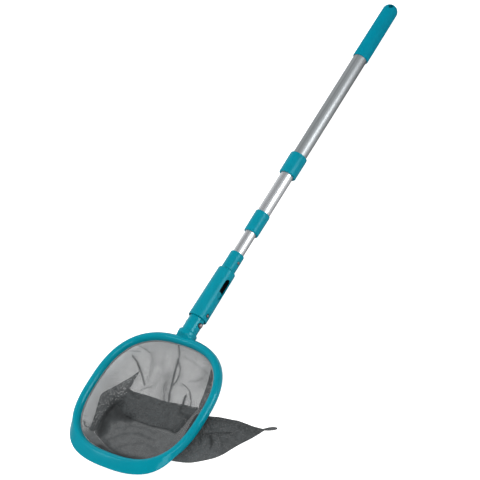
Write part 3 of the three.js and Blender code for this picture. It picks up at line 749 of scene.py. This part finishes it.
FLAP_CREASES = INNER_SHADOW + [
    ([(-69, 8), (-84, -20), (-92, -50), (-90, -74)], 12.0, 12.0, 0.4, 0.6, 0.2),
    ([(-67, 53), (-74, 43), (-84, 29), (-100, 8), (-117, -11), (-120, -22), (-114, -33),
      (-106, -56), (-99, -77), (-98, -89)], 1.4, 4.0, 0.8, 0.75, 0.05),
    ([(-67, 53), (-66, 40), (-65, 26), (-62, 13)], 1.2, -4.0, 0.8, 0.6, 0.0),
    ([(-61, 12), (-45, 11), (-9, 12), (29, 12), (53, 15), (76, 18), (95, 19), (106, 20)],
     1.6, -7.0, 0.8, 0.8, 0.1),
    ([(-62, 10), (-46, 4), (-30, 0)], 4.0, 8.0, 0.6, 1.0, 0.25),
    ([(-96, 4), (-80, -6), (-62, -14), (-50, -28)], 3.0, 9.0, 0.8, 0.9, 0.2),
    ([(-56, -5), (-34, -10), (-10, -14), (14, -12)], 1.6, 4.0, 0.6, 0.7, 0.1),
    ([(-50, -18), (-26, -24), (4, -25), (28, -22)], 1.4, 3.0, 0.5, 0.6, 0.05),
    ([(-20, -3), (8, -3), (32, 0)], 1.4, 3.0, 0.5, 0.5, 0.0),
    ([(-70, -25), (-44, -39), (-28, -44), (3, -43), (29, -43), (52, -41), (76, -39), (93, -40)],
     1.5, 5.0, 0.8, 1.0, 0.45),
    ([(32, 12), (49, -13), (64, -38)], 0.9, -4.0, 0.8, 0.7, 0.1),
    ([(36, 12), (53, -13), (69, -38)], 1.1, 1.1, 0.4, -0.5, 0.0),
    ([(40, 13), (57, -13), (73, -38)], 0.9, 5.0, 0.8, 0.7, 0.1),
    ([(72, 10), (76, -1), (87, -3), (95, -4)], 3.5, 6.0, 1.4, 1.0, 0.4),
    ([(96, -6), (98, -20), (92, -34)], 5.0, 7.0, 1.0, 1.0, 0.3),
    ([(82, -38), (90, -30)], 7.0, 9.0, 0.6, 0.9, 0.2),
]
TAIL_CREASES = [
    ([(153, -27), (163, -23), (171, -19), (180, -15), (195, -9), (205, -7)],
     2.2, -6.0, 1.2, 1.0, 0.55),
    ([(152, -28), (163, -24), (171, -21)], 2.8, 4.0, 0.8, 1.0, 0.3),
    ([(205, -7), (213, -9), (220, -12), (227, -14)], 1.4, 4.0, 1.0, 0.9, 0.15),
    ([(205, -4), (222, 2), (240, 10)], 1.2, -5.0, 0.8, 0.7, 0.05),
    ([(168, -25), (177, -33), (180, -38), (182, -46)], 4.0, 9.0, 1.4, 1.0, 0.62),
    ([(176, -18), (186, -20), (200, -30), (206, -38)], 3.0, 9.0, 0.8, 0.9, 0.25),
    ([(147, -31), (154, -38), (162, -47)], 3.0, 6.0, 1.0, 0.95, 0.22),
    ([(142, -8), (151, -26)], 1.6, 4.0, 0.8, 0.8, 0.1),
    ([(126, -44), (140, -58), (146, -70)], 2.5, 9.0, 0.8, 0.6, 0.05),
    ([(170, -66), (190, -52), (200, -40)], 3.0, 9.0, 0.8, 0.7, 0.1),
    ([(150, 8), (180, 12), (214, 14)], 2.0, -7.0, 0.6, 0.6, 0.05),
]

mesh_cloth = surface(
    "mesh_cloth", WOVEN,
    {"Colour": srgb(70, 73, 74), "Pitch": 0.0015, "Thread cover": 0.88, "Gap cover": 0.43,
     "Gathered cover": 0.98, "Shade variation": 0.2},
    bump=0.35, solid=False, Roughness=0.8, Specular_IOR_Level=0.15)
feed(mesh_cloth, "Map", "ShaderNodeUVMap", "UV", uv_map="weave")
for label, attribute in CLOTH_ATTRIBUTES.items():
    feed(mesh_cloth, label, "ShaderNodeAttribute", "Fac", attribute_name=attribute)


# Each layer below is its plan, faces, heights, gather, shadow, mottle, and the turn of
# its weave.
def throat_layer():
    """The single cloth over the whole mouth, which rises to the hem at its edge. It is
    gathered along the lip, on both sides, at the neck and at the right shoulder."""
    hem = rim_path(RIM_STATIONS, BAG_MOUTH_OUT)[0] - np.array([0.0, RIM_MIDDLE_Y])
    plan, faces, from_edge = flat_patch(hem)
    rise, gather, shadow = creased(plan, THROAT_CREASES)
    lip_side = region(plan, (-112, -84), (-62, -84))
    right_side = region(plan, (92, 104), (24, 12))
    bare = 1.0 - inside(plan, np.array(FLOOR_OUTLINE, dtype=float))
    gather = np.maximum(gather, 0.8 * bare * np.maximum(lip_side, right_side))
    gather += 0.05 + 0.07 * wrinkle(plan, 16.0, 9.0)
    gather += 0.12 * region(plan, along=(96, 124))
    gather += 0.3 * region(plan, (48, 84), (46, 80))
    gather += 0.2 * region(plan, (-84, -112), (60, 10))
    wall = 1.0 - np.clip(from_edge / DISH_WALL_WIDTH, 0.0, 1.0)
    free = np.clip(from_edge / HELD_EDGE, 0.0, 1.0)
    height = (DISH_FLOOR + (DISH_EDGE_HEIGHT - DISH_FLOOR) * wall ** 1.6
              + free * (rise + 0.5 * wrinkle(plan, 34.0, 1.0)))
    return plan, faces, height, gather, shadow, 0.03, 0.0


def folded_layer(outline, base, lift, creases, lip_gather, neck_gather, mottle, turn, seed):
    """A puffed layer on top of the others, gathered more or less towards the lip."""
    plan, faces, from_edge = flat_patch(smooth_outline(outline))
    rise, gather, shadow = creased(plan, creases)
    puff = np.sqrt(np.clip(from_edge / FOLD_EDGE, 0.0, 1.0))
    height = base + puff * (lift + rise + 0.5 * wrinkle(plan, 26.0, seed))
    least = neck_gather + (lip_gather - neck_gather) * region(plan, along=(-40, -50))
    gather = np.maximum(gather, least) + 0.06 * wrinkle(plan, 12.0, seed)
    return plan, faces, height, gather, shadow, mottle, turn


def tail_layers():
    """The loose end beyond the rim: a puffed cloth, and a flat one on the ground."""
    plan, faces, from_edge = flat_patch(smooth_outline(TAIL_OUTLINE))
    rise, gather, shadow = creased(plan, TAIL_CREASES)
    # Painted light and shade: the tail is painted lighter beside the rim and towards the lip side, and
    # darker towards the neck side.
    shadow -= 0.7 * region(plan, (150, 118)) + 0.35 * region(plan, along=(-25, -60))
    shadow += 0.2 * region(plan, along=(-5, 15))
    puff = np.sqrt(np.clip(from_edge / TAIL_EDGE, 0.0, 1.0)) * region(plan, (118, 160))
    top = TAIL_EDGE_HEIGHT + puff * (TAIL_RISE + rise + 0.9 * wrinkle(plan, 30.0, 5.0))
    gather = np.maximum(gather, 0.7) + 0.08 * wrinkle(plan, 9.0, 6.0)
    gather = np.maximum(gather, 0.9 * np.exp(-(from_edge / TAIL_HEM) ** 2))
    flat = np.ones(len(plan))
    return [(plan, faces, top, gather, shadow, 0.4, 0.5),
            (plan, faces, GROUND_CLOTH_HEIGHT * flat, 0.45 * flat, 0.0 * flat, 0.0, 0.72)]


def make_bag():
    # Each row: outline, height of its edge, puff, creases, the least it is gathered
    # towards the lip and towards the neck, mottle, turn of its weave, and seed.
    layers = [throat_layer()]
    for row in ((FLOOR_OUTLINE, 2.4, 1.8, FLOOR_CREASES, 0.3, 0.0, 0.03, 0.55, 2.0),
                (FLAP_OUTLINE, 5.0, 2.0, FLAP_CREASES, 0.5, 0.42, 0.85, 0.3, 3.0),
                (WEDGE_OUTLINE, 2.6, 1.0, [], 0.5, 0.5, 0.5, 0.26, 4.0)):
        layers.append(folded_layer(*row))
    layers += tail_layers()

    points, all_faces, painted, maps = [], [], [], []
    for plan, faces, height, gather, shadow, mottle, turn in layers:
        first = len(points)
        points += [(x, y + RIM_MIDDLE_Y, z) for (x, y), z in zip(plan, height)]
        all_faces += [tuple(first + i for i in face) for face in faces]
        painted.append([np.clip(gather, -0.4, 1.0), shadow, np.full(len(plan), mottle)])
        across, along = math.cos(turn), math.sin(turn)
        maps.append(plan @ np.array([[across, -along], [along, across]]) * 0.001)
    bag = new_piece("bag_cloth", points, all_faces, [mesh_cloth], soft_angle=60.0)
    for name, values in zip(CLOTH_ATTRIBUTES.values(), np.hstack(painted)):
        attribute = bag.data.attributes.new(name, "FLOAT", "POINT")
        attribute.data.foreach_set("value", values.astype(np.float32))
    weave = bag.data.uv_layers.new(name="weave")
    corners = np.empty(len(bag.data.loops), dtype=np.int32)
    bag.data.loops.foreach_get("vertex_index", corners)
    weave.data.foreach_set("uv", np.vstack(maps)[corners].astype(np.float32).ravel())
    return bag


bag_cloth = make_bag()
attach(bag_cloth, "head")
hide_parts("net_bag")


# ----------------------------------------------------------------------- end tab
# A short loop of hem tape sewn into the point of the bag, laid on the ground. The
# bag is pulled out by it to be emptied.
TAB_LINE = [(259.6, 21.6), (264, 23.4), (270, 26.2), (277, 29.2), (283, 31.4), (286.5, 32.0)]
TAB_HALF_WIDTHS = [1.6, 2.4, 3.4, 3.7, 3.0, 1.4]
TAB_HALF_THICKNESS = 0.85
TAB_MIDDLE_HEIGHT = 1.0
tab_cloth = surface(
    "tab_cloth", WOVEN,
    {"Colour": srgb(84, 86, 87), "Pitch": 0.001, "Shade variation": 0.2},
    bump=0.6, bump_distance=0.0003, Roughness=0.85, Specular_IOR_Level=0.15)
feed(tab_cloth, "Map", "ShaderNodeTexCoord", "Object")


def make_tab():
    steps = 30
    share = np.linspace(0.0, len(TAB_LINE) - 1.0, steps)
    x, y = (np.interp(share, range(len(TAB_LINE)), [p[k] for p in TAB_LINE]) for k in (0, 1))
    half = np.interp(share, range(len(TAB_LINE)), TAB_HALF_WIDTHS)
    rows = []
    for i in range(steps):
        ahead = min(i + 1, steps - 1)
        behind = max(i - 1, 0)
        way = Vector((x[ahead] - x[behind], y[ahead] - y[behind])).normalized()
        row = []
        for across, upwards in circle(20):
            out = half[i] * signed_power(across, 0.4)
            up = TAB_HALF_THICKNESS * signed_power(upwards, 0.6)
            row.append((x[i] - way.y * out, y[i] + way.x * out + RIM_MIDDLE_Y,
                        TAB_MIDDLE_HEIGHT + up))
        rows.append(row)
    return lofted("end_tab_cloth", rows, [tab_cloth], soft_angle=50.0)


end_tab = make_tab()
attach(end_tab, "head")
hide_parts("bag_end_tab")


# ------------------------------------------------------- buttons and lock pins
# Polished steel studs riveted to the spring clips. The larger pair is squeezed to
# free the stem, the smaller pairs lock the stem and the inner tube in the adapter.
THUMB_RADIUS = 5.5
THUMB_TOP = 20.6
THUMB_DOME = 5.5
PIN_DOME = 1.4
PIN_RADIUS = 3.2
LOCK_PIN_TOP = 20.4
SNAP_TOP = 15.4
SNAP_Y = 138.0
STEM_CLIP_FACE = 12.83
POLE_CLIP_FACE = 10.12
STUD_SIDES = 48
UNSHADED_SHARE = 0.8


def worn_metal_group():
    """Smooth metal with faint handling marks that change its gloss."""
    group, given = open_tree("worn_metal", "ShaderNodeTree", {
        "Colour": (0.6, 0.6, 0.6, 1.0), "Roughness": 0.2, "Streak length": 1.0,
        "Streak width": 0.002, "Streak depth": 0.1})
    where = add_node(group, "ShaderNodeTexCoord").outputs["Object"]
    across = maths(group, "DIVIDE", 1.0, given["Streak width"])
    along = maths(group, "DIVIDE", 1.0, given["Streak length"])
    stretch = add_node(group, "ShaderNodeCombineXYZ", {"X": across, "Y": along, "Z": across})
    spread = add_node(group, "ShaderNodeVectorMath", {0: where, 1: stretch.outputs[0]},
                      operation="MULTIPLY")
    streak = clouds(group, spread.outputs[0], 1.0, 3.0)
    shade = shades(group, streak, 0.32, 0.68, given["Streak depth"])
    gloss = maths(group, "MULTIPLY_ADD", given["Streak depth"], streak, given["Roughness"])
    return close_tree(group, {"Colour": tinted(group, given["Colour"], shade),
                              "Roughness": gloss, "Height": streak})


WORN_METAL = worn_metal_group()
polished_steel = surface(
    "polished_steel", WORN_METAL,
    {"Colour": srgb(136, 121, 123), "Roughness": 0.34, "Streak length": 0.004,
     "Streak width": 0.002, "Streak depth": 0.12},
    bump=0.05, Metallic=0.85)
# Painted shade: a dark ring round each stud's dome, where its edge and the hole round it fall in shade.
painted_shade_ring = surface(
    "button_shadow_ring", WORN_METAL,
    {"Colour": srgb(52, 44, 46), "Roughness": 0.4, "Streak depth": 0.2},
    bump=0.05, Metallic=0.4)


def turned_faces(turns, profile):
    """Faces of a profile of (radius, place) points turned about its axis."""
    count = len(profile)
    faces = tube_faces(turns, count, closed=True)
    if profile[0][0] > 0.0:
        return faces
    return [face for face in faces if {face[0] % count, face[1] % count} != {0, count - 1}]


def side_button(name, side, radius, dome, foot, top, y):
    """A domed stud that stands out along X, with painted shade on a ring round its dome."""
    profile = [(0.0, foot), (radius, foot)]
    for turn in np.linspace(0.0, math.pi / 2.0, 16):
        profile.append((radius * math.cos(turn), top - dome + dome * math.sin(turn)))
    profile[-1] = (0.0, top)
    points = [(side * out, y + r * along, AXIS_HEIGHT + r * up)
              for along, up in circle(STUD_SIDES) for r, out in profile]
    piece = new_piece(name, points, turned_faces(STUD_SIDES, profile),
                      [polished_steel, painted_shade_ring])
    # Faces outside the middle share of the dome get the ring of painted shade.
    for face in piece.data.polygons:
        off_middle = math.hypot(face.center.y - y * 0.001, face.center.z - AXIS_HEIGHT * 0.001)
        if off_middle > UNSHADED_SHARE * radius * 0.001:
            face.material_index = 1
    return piece


for side, word in ((1, "right"), (-1, "left")):
    thumb = side_button("thumb_stud_" + word, side, THUMB_RADIUS, THUMB_DOME, STEM_CLIP_FACE,
                        THUMB_TOP, THUMB_Y)
    lock_pin = side_button("lock_stud_" + word, side, PIN_RADIUS, PIN_DOME, STEM_CLIP_FACE,
                           LOCK_PIN_TOP, LOCK_PIN_Y)
    snap = side_button("snap_stud_" + word, side, PIN_RADIUS, PIN_DOME, POLE_CLIP_FACE,
                       SNAP_TOP, SNAP_Y)
    for piece, node, body in ((thumb, "thumb_button_", "stem_buttons_"),
                              (lock_pin, "stem_lock_pin_", "stem_buttons_"),
                              (snap, "snap_button_", "snap_")):
        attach(piece, body + word)
        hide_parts(node + word)


# -------------------------------------------------------------------- spring clips
# Two U-shaped strips of rolled spring steel inside the stem and the inner tube.
# They press the studs outwards, and only show through the adapter's slots.
spring_steel = surface(
    "spring_steel", WORN_METAL,
    {"Colour": srgb(170, 172, 175), "Roughness": 0.28, "Streak length": 0.05,
     "Streak width": 0.0008, "Streak depth": 0.12},
    bump=0.1, Metallic=0.9)
for node in ("stem_spring_clip", "pole_spring_clip"):
    repaint(node, spring_steel)


# ------------------------------------------------------------------ adapter sleeve
# A teal moulded sleeve that takes the stem in its wide end and the inner tube in
# its neck. Long drain slots on both sides show the stem inside.
teal_sleeve = surface(
    "teal_sleeve", MOULDED,
    {"Colour": srgb(0, 139, 158), "Roughness": 0.25, "Colour variation": 0.03,
     "Gloss variation": 0.08, "Grain size": 0.0009},
    bump=0.05, Specular_IOR_Level=0.13, Specular_Tint=(0.6, 0.95, 1.0, 1.0))
ADAPTER_FOOT = 19.7
ADAPTER_SHOULDER = 18.5
ADAPTER_SHOULDER_Y = 115.0
ADAPTER_TOP_Y = 156.4
ADAPTER_NECK = 14.7
ADAPTER_SOCKET = 16.3
ADAPTER_SOCKET_END_Y = 98.8
TUBE_SOCKET = 11.9
TUBE_STOP = 10.7
TUBE_STOP_NEAR_Y = 103.8
TUBE_STOP_FAR_Y = 107.5
LOCK_WINDOW_RADIUS = 4.7
TURNED_SIDES = 96
SLOT_NEAR = 59.0
SLOT_FAR = 89.0
SLOT_RADIUS = 8.0
deep_shadow = surface(
    "shadowed_bore", MOULDED,
    {"Colour": srgb(10, 14, 16), "Roughness": 0.7}, bump=0.05, Specular_IOR_Level=0.05)


def filleted(corners, steps=6):
    """A profile of (radius, y, rounding) corners with those corners rounded."""
    points = []
    for i, (radius, y, rounding) in enumerate(corners):
        here = np.array([radius, y], dtype=float)
        if rounding <= 0.0:
            points.append(tuple(here))
            continue
        before = np.array(corners[i - 1][:2], dtype=float)
        after = np.array(corners[(i + 1) % len(corners)][:2], dtype=float)
        start = here + (before - here) / np.linalg.norm(before - here) * rounding
        end = here + (after - here) / np.linalg.norm(after - here) * rounding
        for share in np.linspace(0.0, 1.0, steps):
            points.append(tuple((1 - share) ** 2 * start + 2 * share * (1 - share) * here
                                + share ** 2 * end))
    return points


def facing_axis(face):
    """How far a face looks towards the pole's axis, from -1 to 1."""
    inward = Vector((-face.center.x, 0.0, AXIS_HEIGHT * 0.001 - face.center.z))
    return face.normal.dot(inward.normalized())


def turned_piece(name, profile, materials):
    """A profile of (radius, y) points turned about the pole's axis. A second material
    is for the faces that look inwards."""
    points = [(radius * across, y, AXIS_HEIGHT + radius * up)
              for across, up in circle(TURNED_SIDES) for radius, y in profile]
    piece = new_piece(name, points, turned_faces(TURNED_SIDES, profile), materials)
    if len(materials) > 1:
        for face in piece.data.polygons:
            face.material_index = 1 if facing_axis(face) > 0.5 else 0
    return piece


adapter = turned_piece("adapter_moulding", filleted([
    (ADAPTER_SOCKET, 1.6, 0.6), (ADAPTER_SOCKET + 1.2, 0.0, 0.5), (ADAPTER_FOOT, 0.0, 1.1),
    (ADAPTER_SHOULDER, ADAPTER_SHOULDER_Y, 2.4), (ADAPTER_NECK, ADAPTER_SHOULDER_Y + 1.4, 1.4),
    (ADAPTER_NECK, ADAPTER_TOP_Y, 1.6), (TUBE_SOCKET, ADAPTER_TOP_Y, 0.5),
    (TUBE_SOCKET, TUBE_STOP_FAR_Y, 0.2), (TUBE_STOP, TUBE_STOP_FAR_Y, 0.2),
    (TUBE_STOP, TUBE_STOP_NEAR_Y, 0.5), (ADAPTER_SOCKET, ADAPTER_SOCKET_END_Y, 0.5)]),
    [teal_sleeve, deep_shadow])


def obround_bar(radius, near, far):
    """A cutter across the pole, with round ends along the pole."""
    rows = []
    for x in (-CUTTER_REACH, CUTTER_REACH):
        row = []
        for middle, start in ((far, 0.0), (near, math.pi)):
            for turn in np.linspace(start, start + math.pi, 25):
                row.append((x, middle + radius * math.sin(turn),
                            AXIS_HEIGHT + radius * math.cos(turn)))
        rows.append(row)
    return lofted("cutter", rows, [])


combine(adapter, [obround_bar(SLOT_RADIUS, SLOT_NEAR, SLOT_FAR),
                  cross_bar(LOCK_WINDOW_RADIUS, LOCK_PIN_Y),
                  cross_bar(PIN_HOLE_RADIUS, SNAP_Y)], "DIFFERENCE")
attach(adapter, "head")
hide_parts("adapter_sleeve")


# ------------------------------------------------------------------ telescopic pole
# Three drawn aluminium tubes, one inside the other. The two thinner ones are
# bright, and the outer one is anodised grey with fine drawing lines.
TUBE_WALL = 0.9
TUBE_LENGTH = 426.6
bright_aluminium = surface(
    "bright_aluminium", WORN_METAL,
    {"Colour": srgb(204, 206, 208), "Roughness": 0.24, "Streak length": 0.5,
     "Streak width": 0.0016, "Streak depth": 0.08},
    bump=0.08, Metallic=0.8)
grey_aluminium = surface(
    "grey_aluminium", WORN_METAL,
    {"Colour": srgb(158, 162, 164), "Roughness": 0.38, "Streak length": 0.6,
     "Streak width": 0.0022, "Streak depth": 0.18},
    bump=0.12, Metallic=0.72)
for name, radius, start, finish, body, node in (
        ("inner_pole", 11.6, 107.8, bright_aluminium, "head", "inner_tube"),
        ("middle_pole_tube", 13.55, 214.4, bright_aluminium, "middle_pole", "middle_tube"),
        ("outer_pole_tube", 14.65, 361.3, grey_aluminium, "outer_pole", "outer_tube")):
    end = start + TUBE_LENGTH
    piece = turned_piece(name, filleted([
        (radius - TUBE_WALL, start, 0.25), (radius, start, 0.25), (radius, end, 0.25),
        (radius - TUBE_WALL, end, 0.25)], steps=3), [finish])
    if node == "inner_tube":
        combine(piece, [cross_bar(PIN_HOLE_RADIUS, SNAP_Y)], "DIFFERENCE")
    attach(piece, body)
    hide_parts(node)


# ------------------------------------------------------------------------- collars
# Tapered teal collars moulded to fit over the end of their own tube. Each guides
# the thinner tube that slides and turns in it.
COLLAR_LENGTH = 49.0
COLLAR_MOUTH = 0.8
COLLAR_LIP = 5.7
teal_collar = surface(
    "teal_collar", MOULDED,
    {"Colour": srgb(0, 140, 160), "Roughness": 0.25, "Colour variation": 0.03,
     "Gloss variation": 0.1, "Grain size": 0.0009},
    bump=0.05, Specular_IOR_Level=0.13, Specular_Tint=(0.6, 0.95, 1.0, 1.0))
for name, wide, taper, own, small, start, body in (
        ("lower_collar", 15.75, 0.35, 13.85, 11.95, 208.4, "middle_pole"),
        ("upper_collar", 18.45, 0.3, 14.95, 13.9, 355.3, "outer_pole")):
    end = start + COLLAR_LENGTH
    piece = turned_piece(name + "_moulding", filleted([
        (small, start + COLLAR_MOUTH, 0.3), (small + COLLAR_MOUTH, start, 0.3),
        (wide - taper, start, 1.8), (wide, end, 1.8), (own, end, 0.4),
        (own, start + COLLAR_LIP, 0.3), (small, start + COLLAR_LIP, 0.3)]), [teal_collar])
    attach(piece, body)
    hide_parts(name)


# --------------------------------------------------------------------- twist locks
# A moulded plug in the end of each thinner tube, and a split shoe on its cone that
# grips the next tube. Both are inside the pole.
lock_plastic = surface(
    "lock_plastic", MOULDED, {"Colour": srgb(44, 46, 48), "Roughness": 0.5})
for lock in ("lower_lock_", "upper_lock_"):
    repaint(lock + "plug", lock_plastic)
    repaint(lock + "shoe", teal_collar)


# ---------------------------------------------------------------------------- grip
# A satin teal sleeve pressed over the end of the outer tube, with a domed end and
# a hole to hang the pole by.
GRIP_START_Y = 665.1
GRIP_END_Y = 811.9
GRIP_MOUTH = 16.9
GRIP_END = 16.25
GRIP_BORE = 14.95
TUBE_PLUG = 11.95
TUBE_PLUG_Y = 791.2
HANG_HOLE_Y = 800.3
HANG_HOLE_TURN = math.radians(67.0)
HANG_HOLE_RADIUS = 4.8
teal_grip = surface(
    "teal_grip", MOULDED,
    {"Colour": srgb(0, 135, 158), "Roughness": 0.5, "Colour variation": 0.04,
     "Gloss variation": 0.12, "Grain size": 0.0006},
    bump=0.12, Specular_IOR_Level=0.03)
grip_profile = filleted([
    (0.0, TUBE_PLUG_Y, 0.0), (TUBE_PLUG, TUBE_PLUG_Y, 0.3),
    (GRIP_BORE, TUBE_PLUG_Y - 3.0, 0.3), (GRIP_BORE, GRIP_START_Y, 0.4),
    (GRIP_MOUTH, GRIP_START_Y, 1.2), (GRIP_END, GRIP_END_Y - GRIP_END, 0.0)])
for turn in np.linspace(0.12, math.pi / 2.0, 20):
    grip_profile.append((GRIP_END * math.cos(turn), GRIP_END_Y - GRIP_END * (1.0 - math.sin(turn))))
grip_profile[-1] = (0.0, GRIP_END_Y)
grip = turned_piece("grip_sleeve", grip_profile, [teal_grip])
combine(grip, [cross_bar(HANG_HOLE_RADIUS, HANG_HOLE_Y, HANG_HOLE_TURN, sides=64)],
        "DIFFERENCE")
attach(grip, "outer_pole")
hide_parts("grip")


# -------------------------------------------------------------- floor and lighting
# A white studio sweep. The camera sees it nearly white, and it still takes the
# object's soft shadow.
FLOOR_REACH = 6000.0
FLOOR_HEIGHT = -0.2
SKY_STRENGTH = 0.34
MIDDLE = Vector((0.0, 0.25, 0.0))
floor_material = bpy.data.materials.new("studio_floor")
floor_material.use_nodes = True
tree = floor_material.node_tree
tree.nodes.clear()
floor_out = tree.nodes.new("ShaderNodeOutputMaterial")
seen = add_node(tree, "ShaderNodeLightPath")
white = add_node(tree, "ShaderNodeEmission", {"Color": (0.86, 0.86, 0.86, 1.0)})
nothing = add_node(tree, "ShaderNodeEmission", {"Strength": 0.0})
bright = add_node(tree, "ShaderNodeMixShader", {
    0: seen.outputs["Is Camera Ray"], 1: nothing.outputs[0], 2: white.outputs[0]})
paper = add_node(tree, "ShaderNodeBsdfDiffuse", {"Color": (0.8, 0.8, 0.8, 1.0)})
both = add_node(tree, "ShaderNodeAddShader", {0: bright.outputs[0], 1: paper.outputs[0]})

# Painted reflection: glossy rays see the floor glow, with painted shade that dims it close beside the
# pole and past the pole's far end.
spot = add_node(tree, "ShaderNodeSeparateXYZ", {
    0: add_node(tree, "ShaderNodeTexCoord").outputs["Object"]})
painted_shadow_beside_pole = remap(tree, maths(tree, "ABSOLUTE", spot.outputs["X"]), 0.008, 0.055, 0.12, 1.0)
painted_fade_past_far_end = remap(tree, spot.outputs["Y"], 0.35, 0.75, 0.95, 0.1)
painted_floor_reflection = add_node(tree, "ShaderNodeEmission",
                    {"Strength": maths(tree, "MULTIPLY", painted_shadow_beside_pole, painted_fade_past_far_end)})
surface_seen = add_node(tree, "ShaderNodeMixShader", {
    0: seen.outputs["Is Glossy Ray"], 1: both.outputs[0], 2: painted_floor_reflection.outputs[0]})
tree.links.new(surface_seen.outputs[0], floor_out.inputs["Surface"])
floor = new_piece(
    "studio_floor",
    [(x * FLOOR_REACH, y * FLOOR_REACH, FLOOR_HEIGHT) for x, y in ((-1, -1), (1, -1), (1, 1), (-1, 1))],
    [(0, 1, 2, 3)], [floor_material])

# The sky has two soft brighter sides: direction, where the glow starts and is full
# as a cosine, and how much it adds.
world = bpy.data.worlds.new("studio")
world.use_nodes = True
sky = world.node_tree
toward = add_node(sky, "ShaderNodeTexCoord")
glow = SKY_STRENGTH
for way, low, high, strength in (((0.90, 0.22, 0.38), 0.5, 0.98, 0.45),
                                 ((-0.86, 0.45, 0.22), 0.78, 1.0, 0.6)):
    facing = add_node(sky, "ShaderNodeVectorMath", {
        0: toward.outputs["Generated"], 1: way}, operation="DOT_PRODUCT")
    glow = maths(sky, "ADD", glow, remap(sky, facing.outputs["Value"], low, high, 0.0, strength,
                                         interpolation_type="SMOOTHSTEP"))
sky.nodes["Background"].inputs["Color"].default_value = (0.97, 0.98, 1.0, 1.0)
sky.links.new(glow, sky.nodes["Background"].inputs["Strength"])
bpy.context.scene.world = world

# Each lamp: its name, where it stands and aims from MIDDLE, width, height, watts, and
# whether it is there for the shine on the object or for its light.
for name, stands, aims, width, height, watts, shines in (
        ("pole shine", (2.6, 0.85, 0.85), (0.0, -0.1, 0.0), 1.2, 1.4, 49.0, True),
        ("rim shine", (2.1, -2.3, 3.1), (0.0, -0.44, 0.0), 3.2, 1.9, 76.0, True),
        ("neck shine", (-1.9, -1.25, 2.1), (0.0, -0.3, 0.0), 0.7, 0.6, 6.0, True),
        ("front", (2.5, -1.9, 3.1), (0.0, -0.44, 0.0), 3.0, 1.0, 62.0, False),
        ("fill", (-1.8, -0.6, 2.0), (0.0, 0.0, 0.0), 2.0, 2.0, 30.0, False),
        ("top", (0.2, 0.3, 3.0), (0.0, 0.0, 0.0), 2.4, 2.4, 18.0, False)):
    light = bpy.data.lights.new(name, "AREA")
    light.shape = "RECTANGLE"
    light.size = width
    light.size_y = height
    light.energy = watts
    lamp = add_object(name, light)
    lamp.location = MIDDLE + Vector(stands)
    lamp.rotation_mode = "QUATERNION"
    aimed = (MIDDLE + Vector(aims)) - (MIDDLE + Vector(stands))
    lamp.rotation_quaternion = aimed.to_track_quat("-Z", "Y")
    lamp.visible_glossy = shines
    lamp.visible_diffuse = not shines


# ---------------------------------------------------------------------- camera
# A long lens that stands where the photograph was taken from, looking down along
# the pole.
CAMERA_PLACE = Vector((2176.9, -1106.05, 2478.9))
CAMERA_RIGHT = Vector((0.7615, 0.4955, -0.4178))
CAMERA_UP = Vector((-0.1915, 0.7878, 0.5854))
CAMERA_BACK = Vector((0.6192, -0.3658, 0.6948))
lens = bpy.data.cameras.new("camera")
lens.lens = 135.0
lens.sensor_width = 36.0
camera = add_object("camera", lens)
camera.location = CAMERA_PLACE * 0.001
camera.rotation_mode = "QUATERNION"
turned = Matrix((CAMERA_RIGHT, CAMERA_UP, CAMERA_BACK)).transposed()
camera.rotation_quaternion = turned.to_quaternion()
bpy.context.scene.camera = camera
bpy.context.scene.view_settings.view_transform = "Standard"
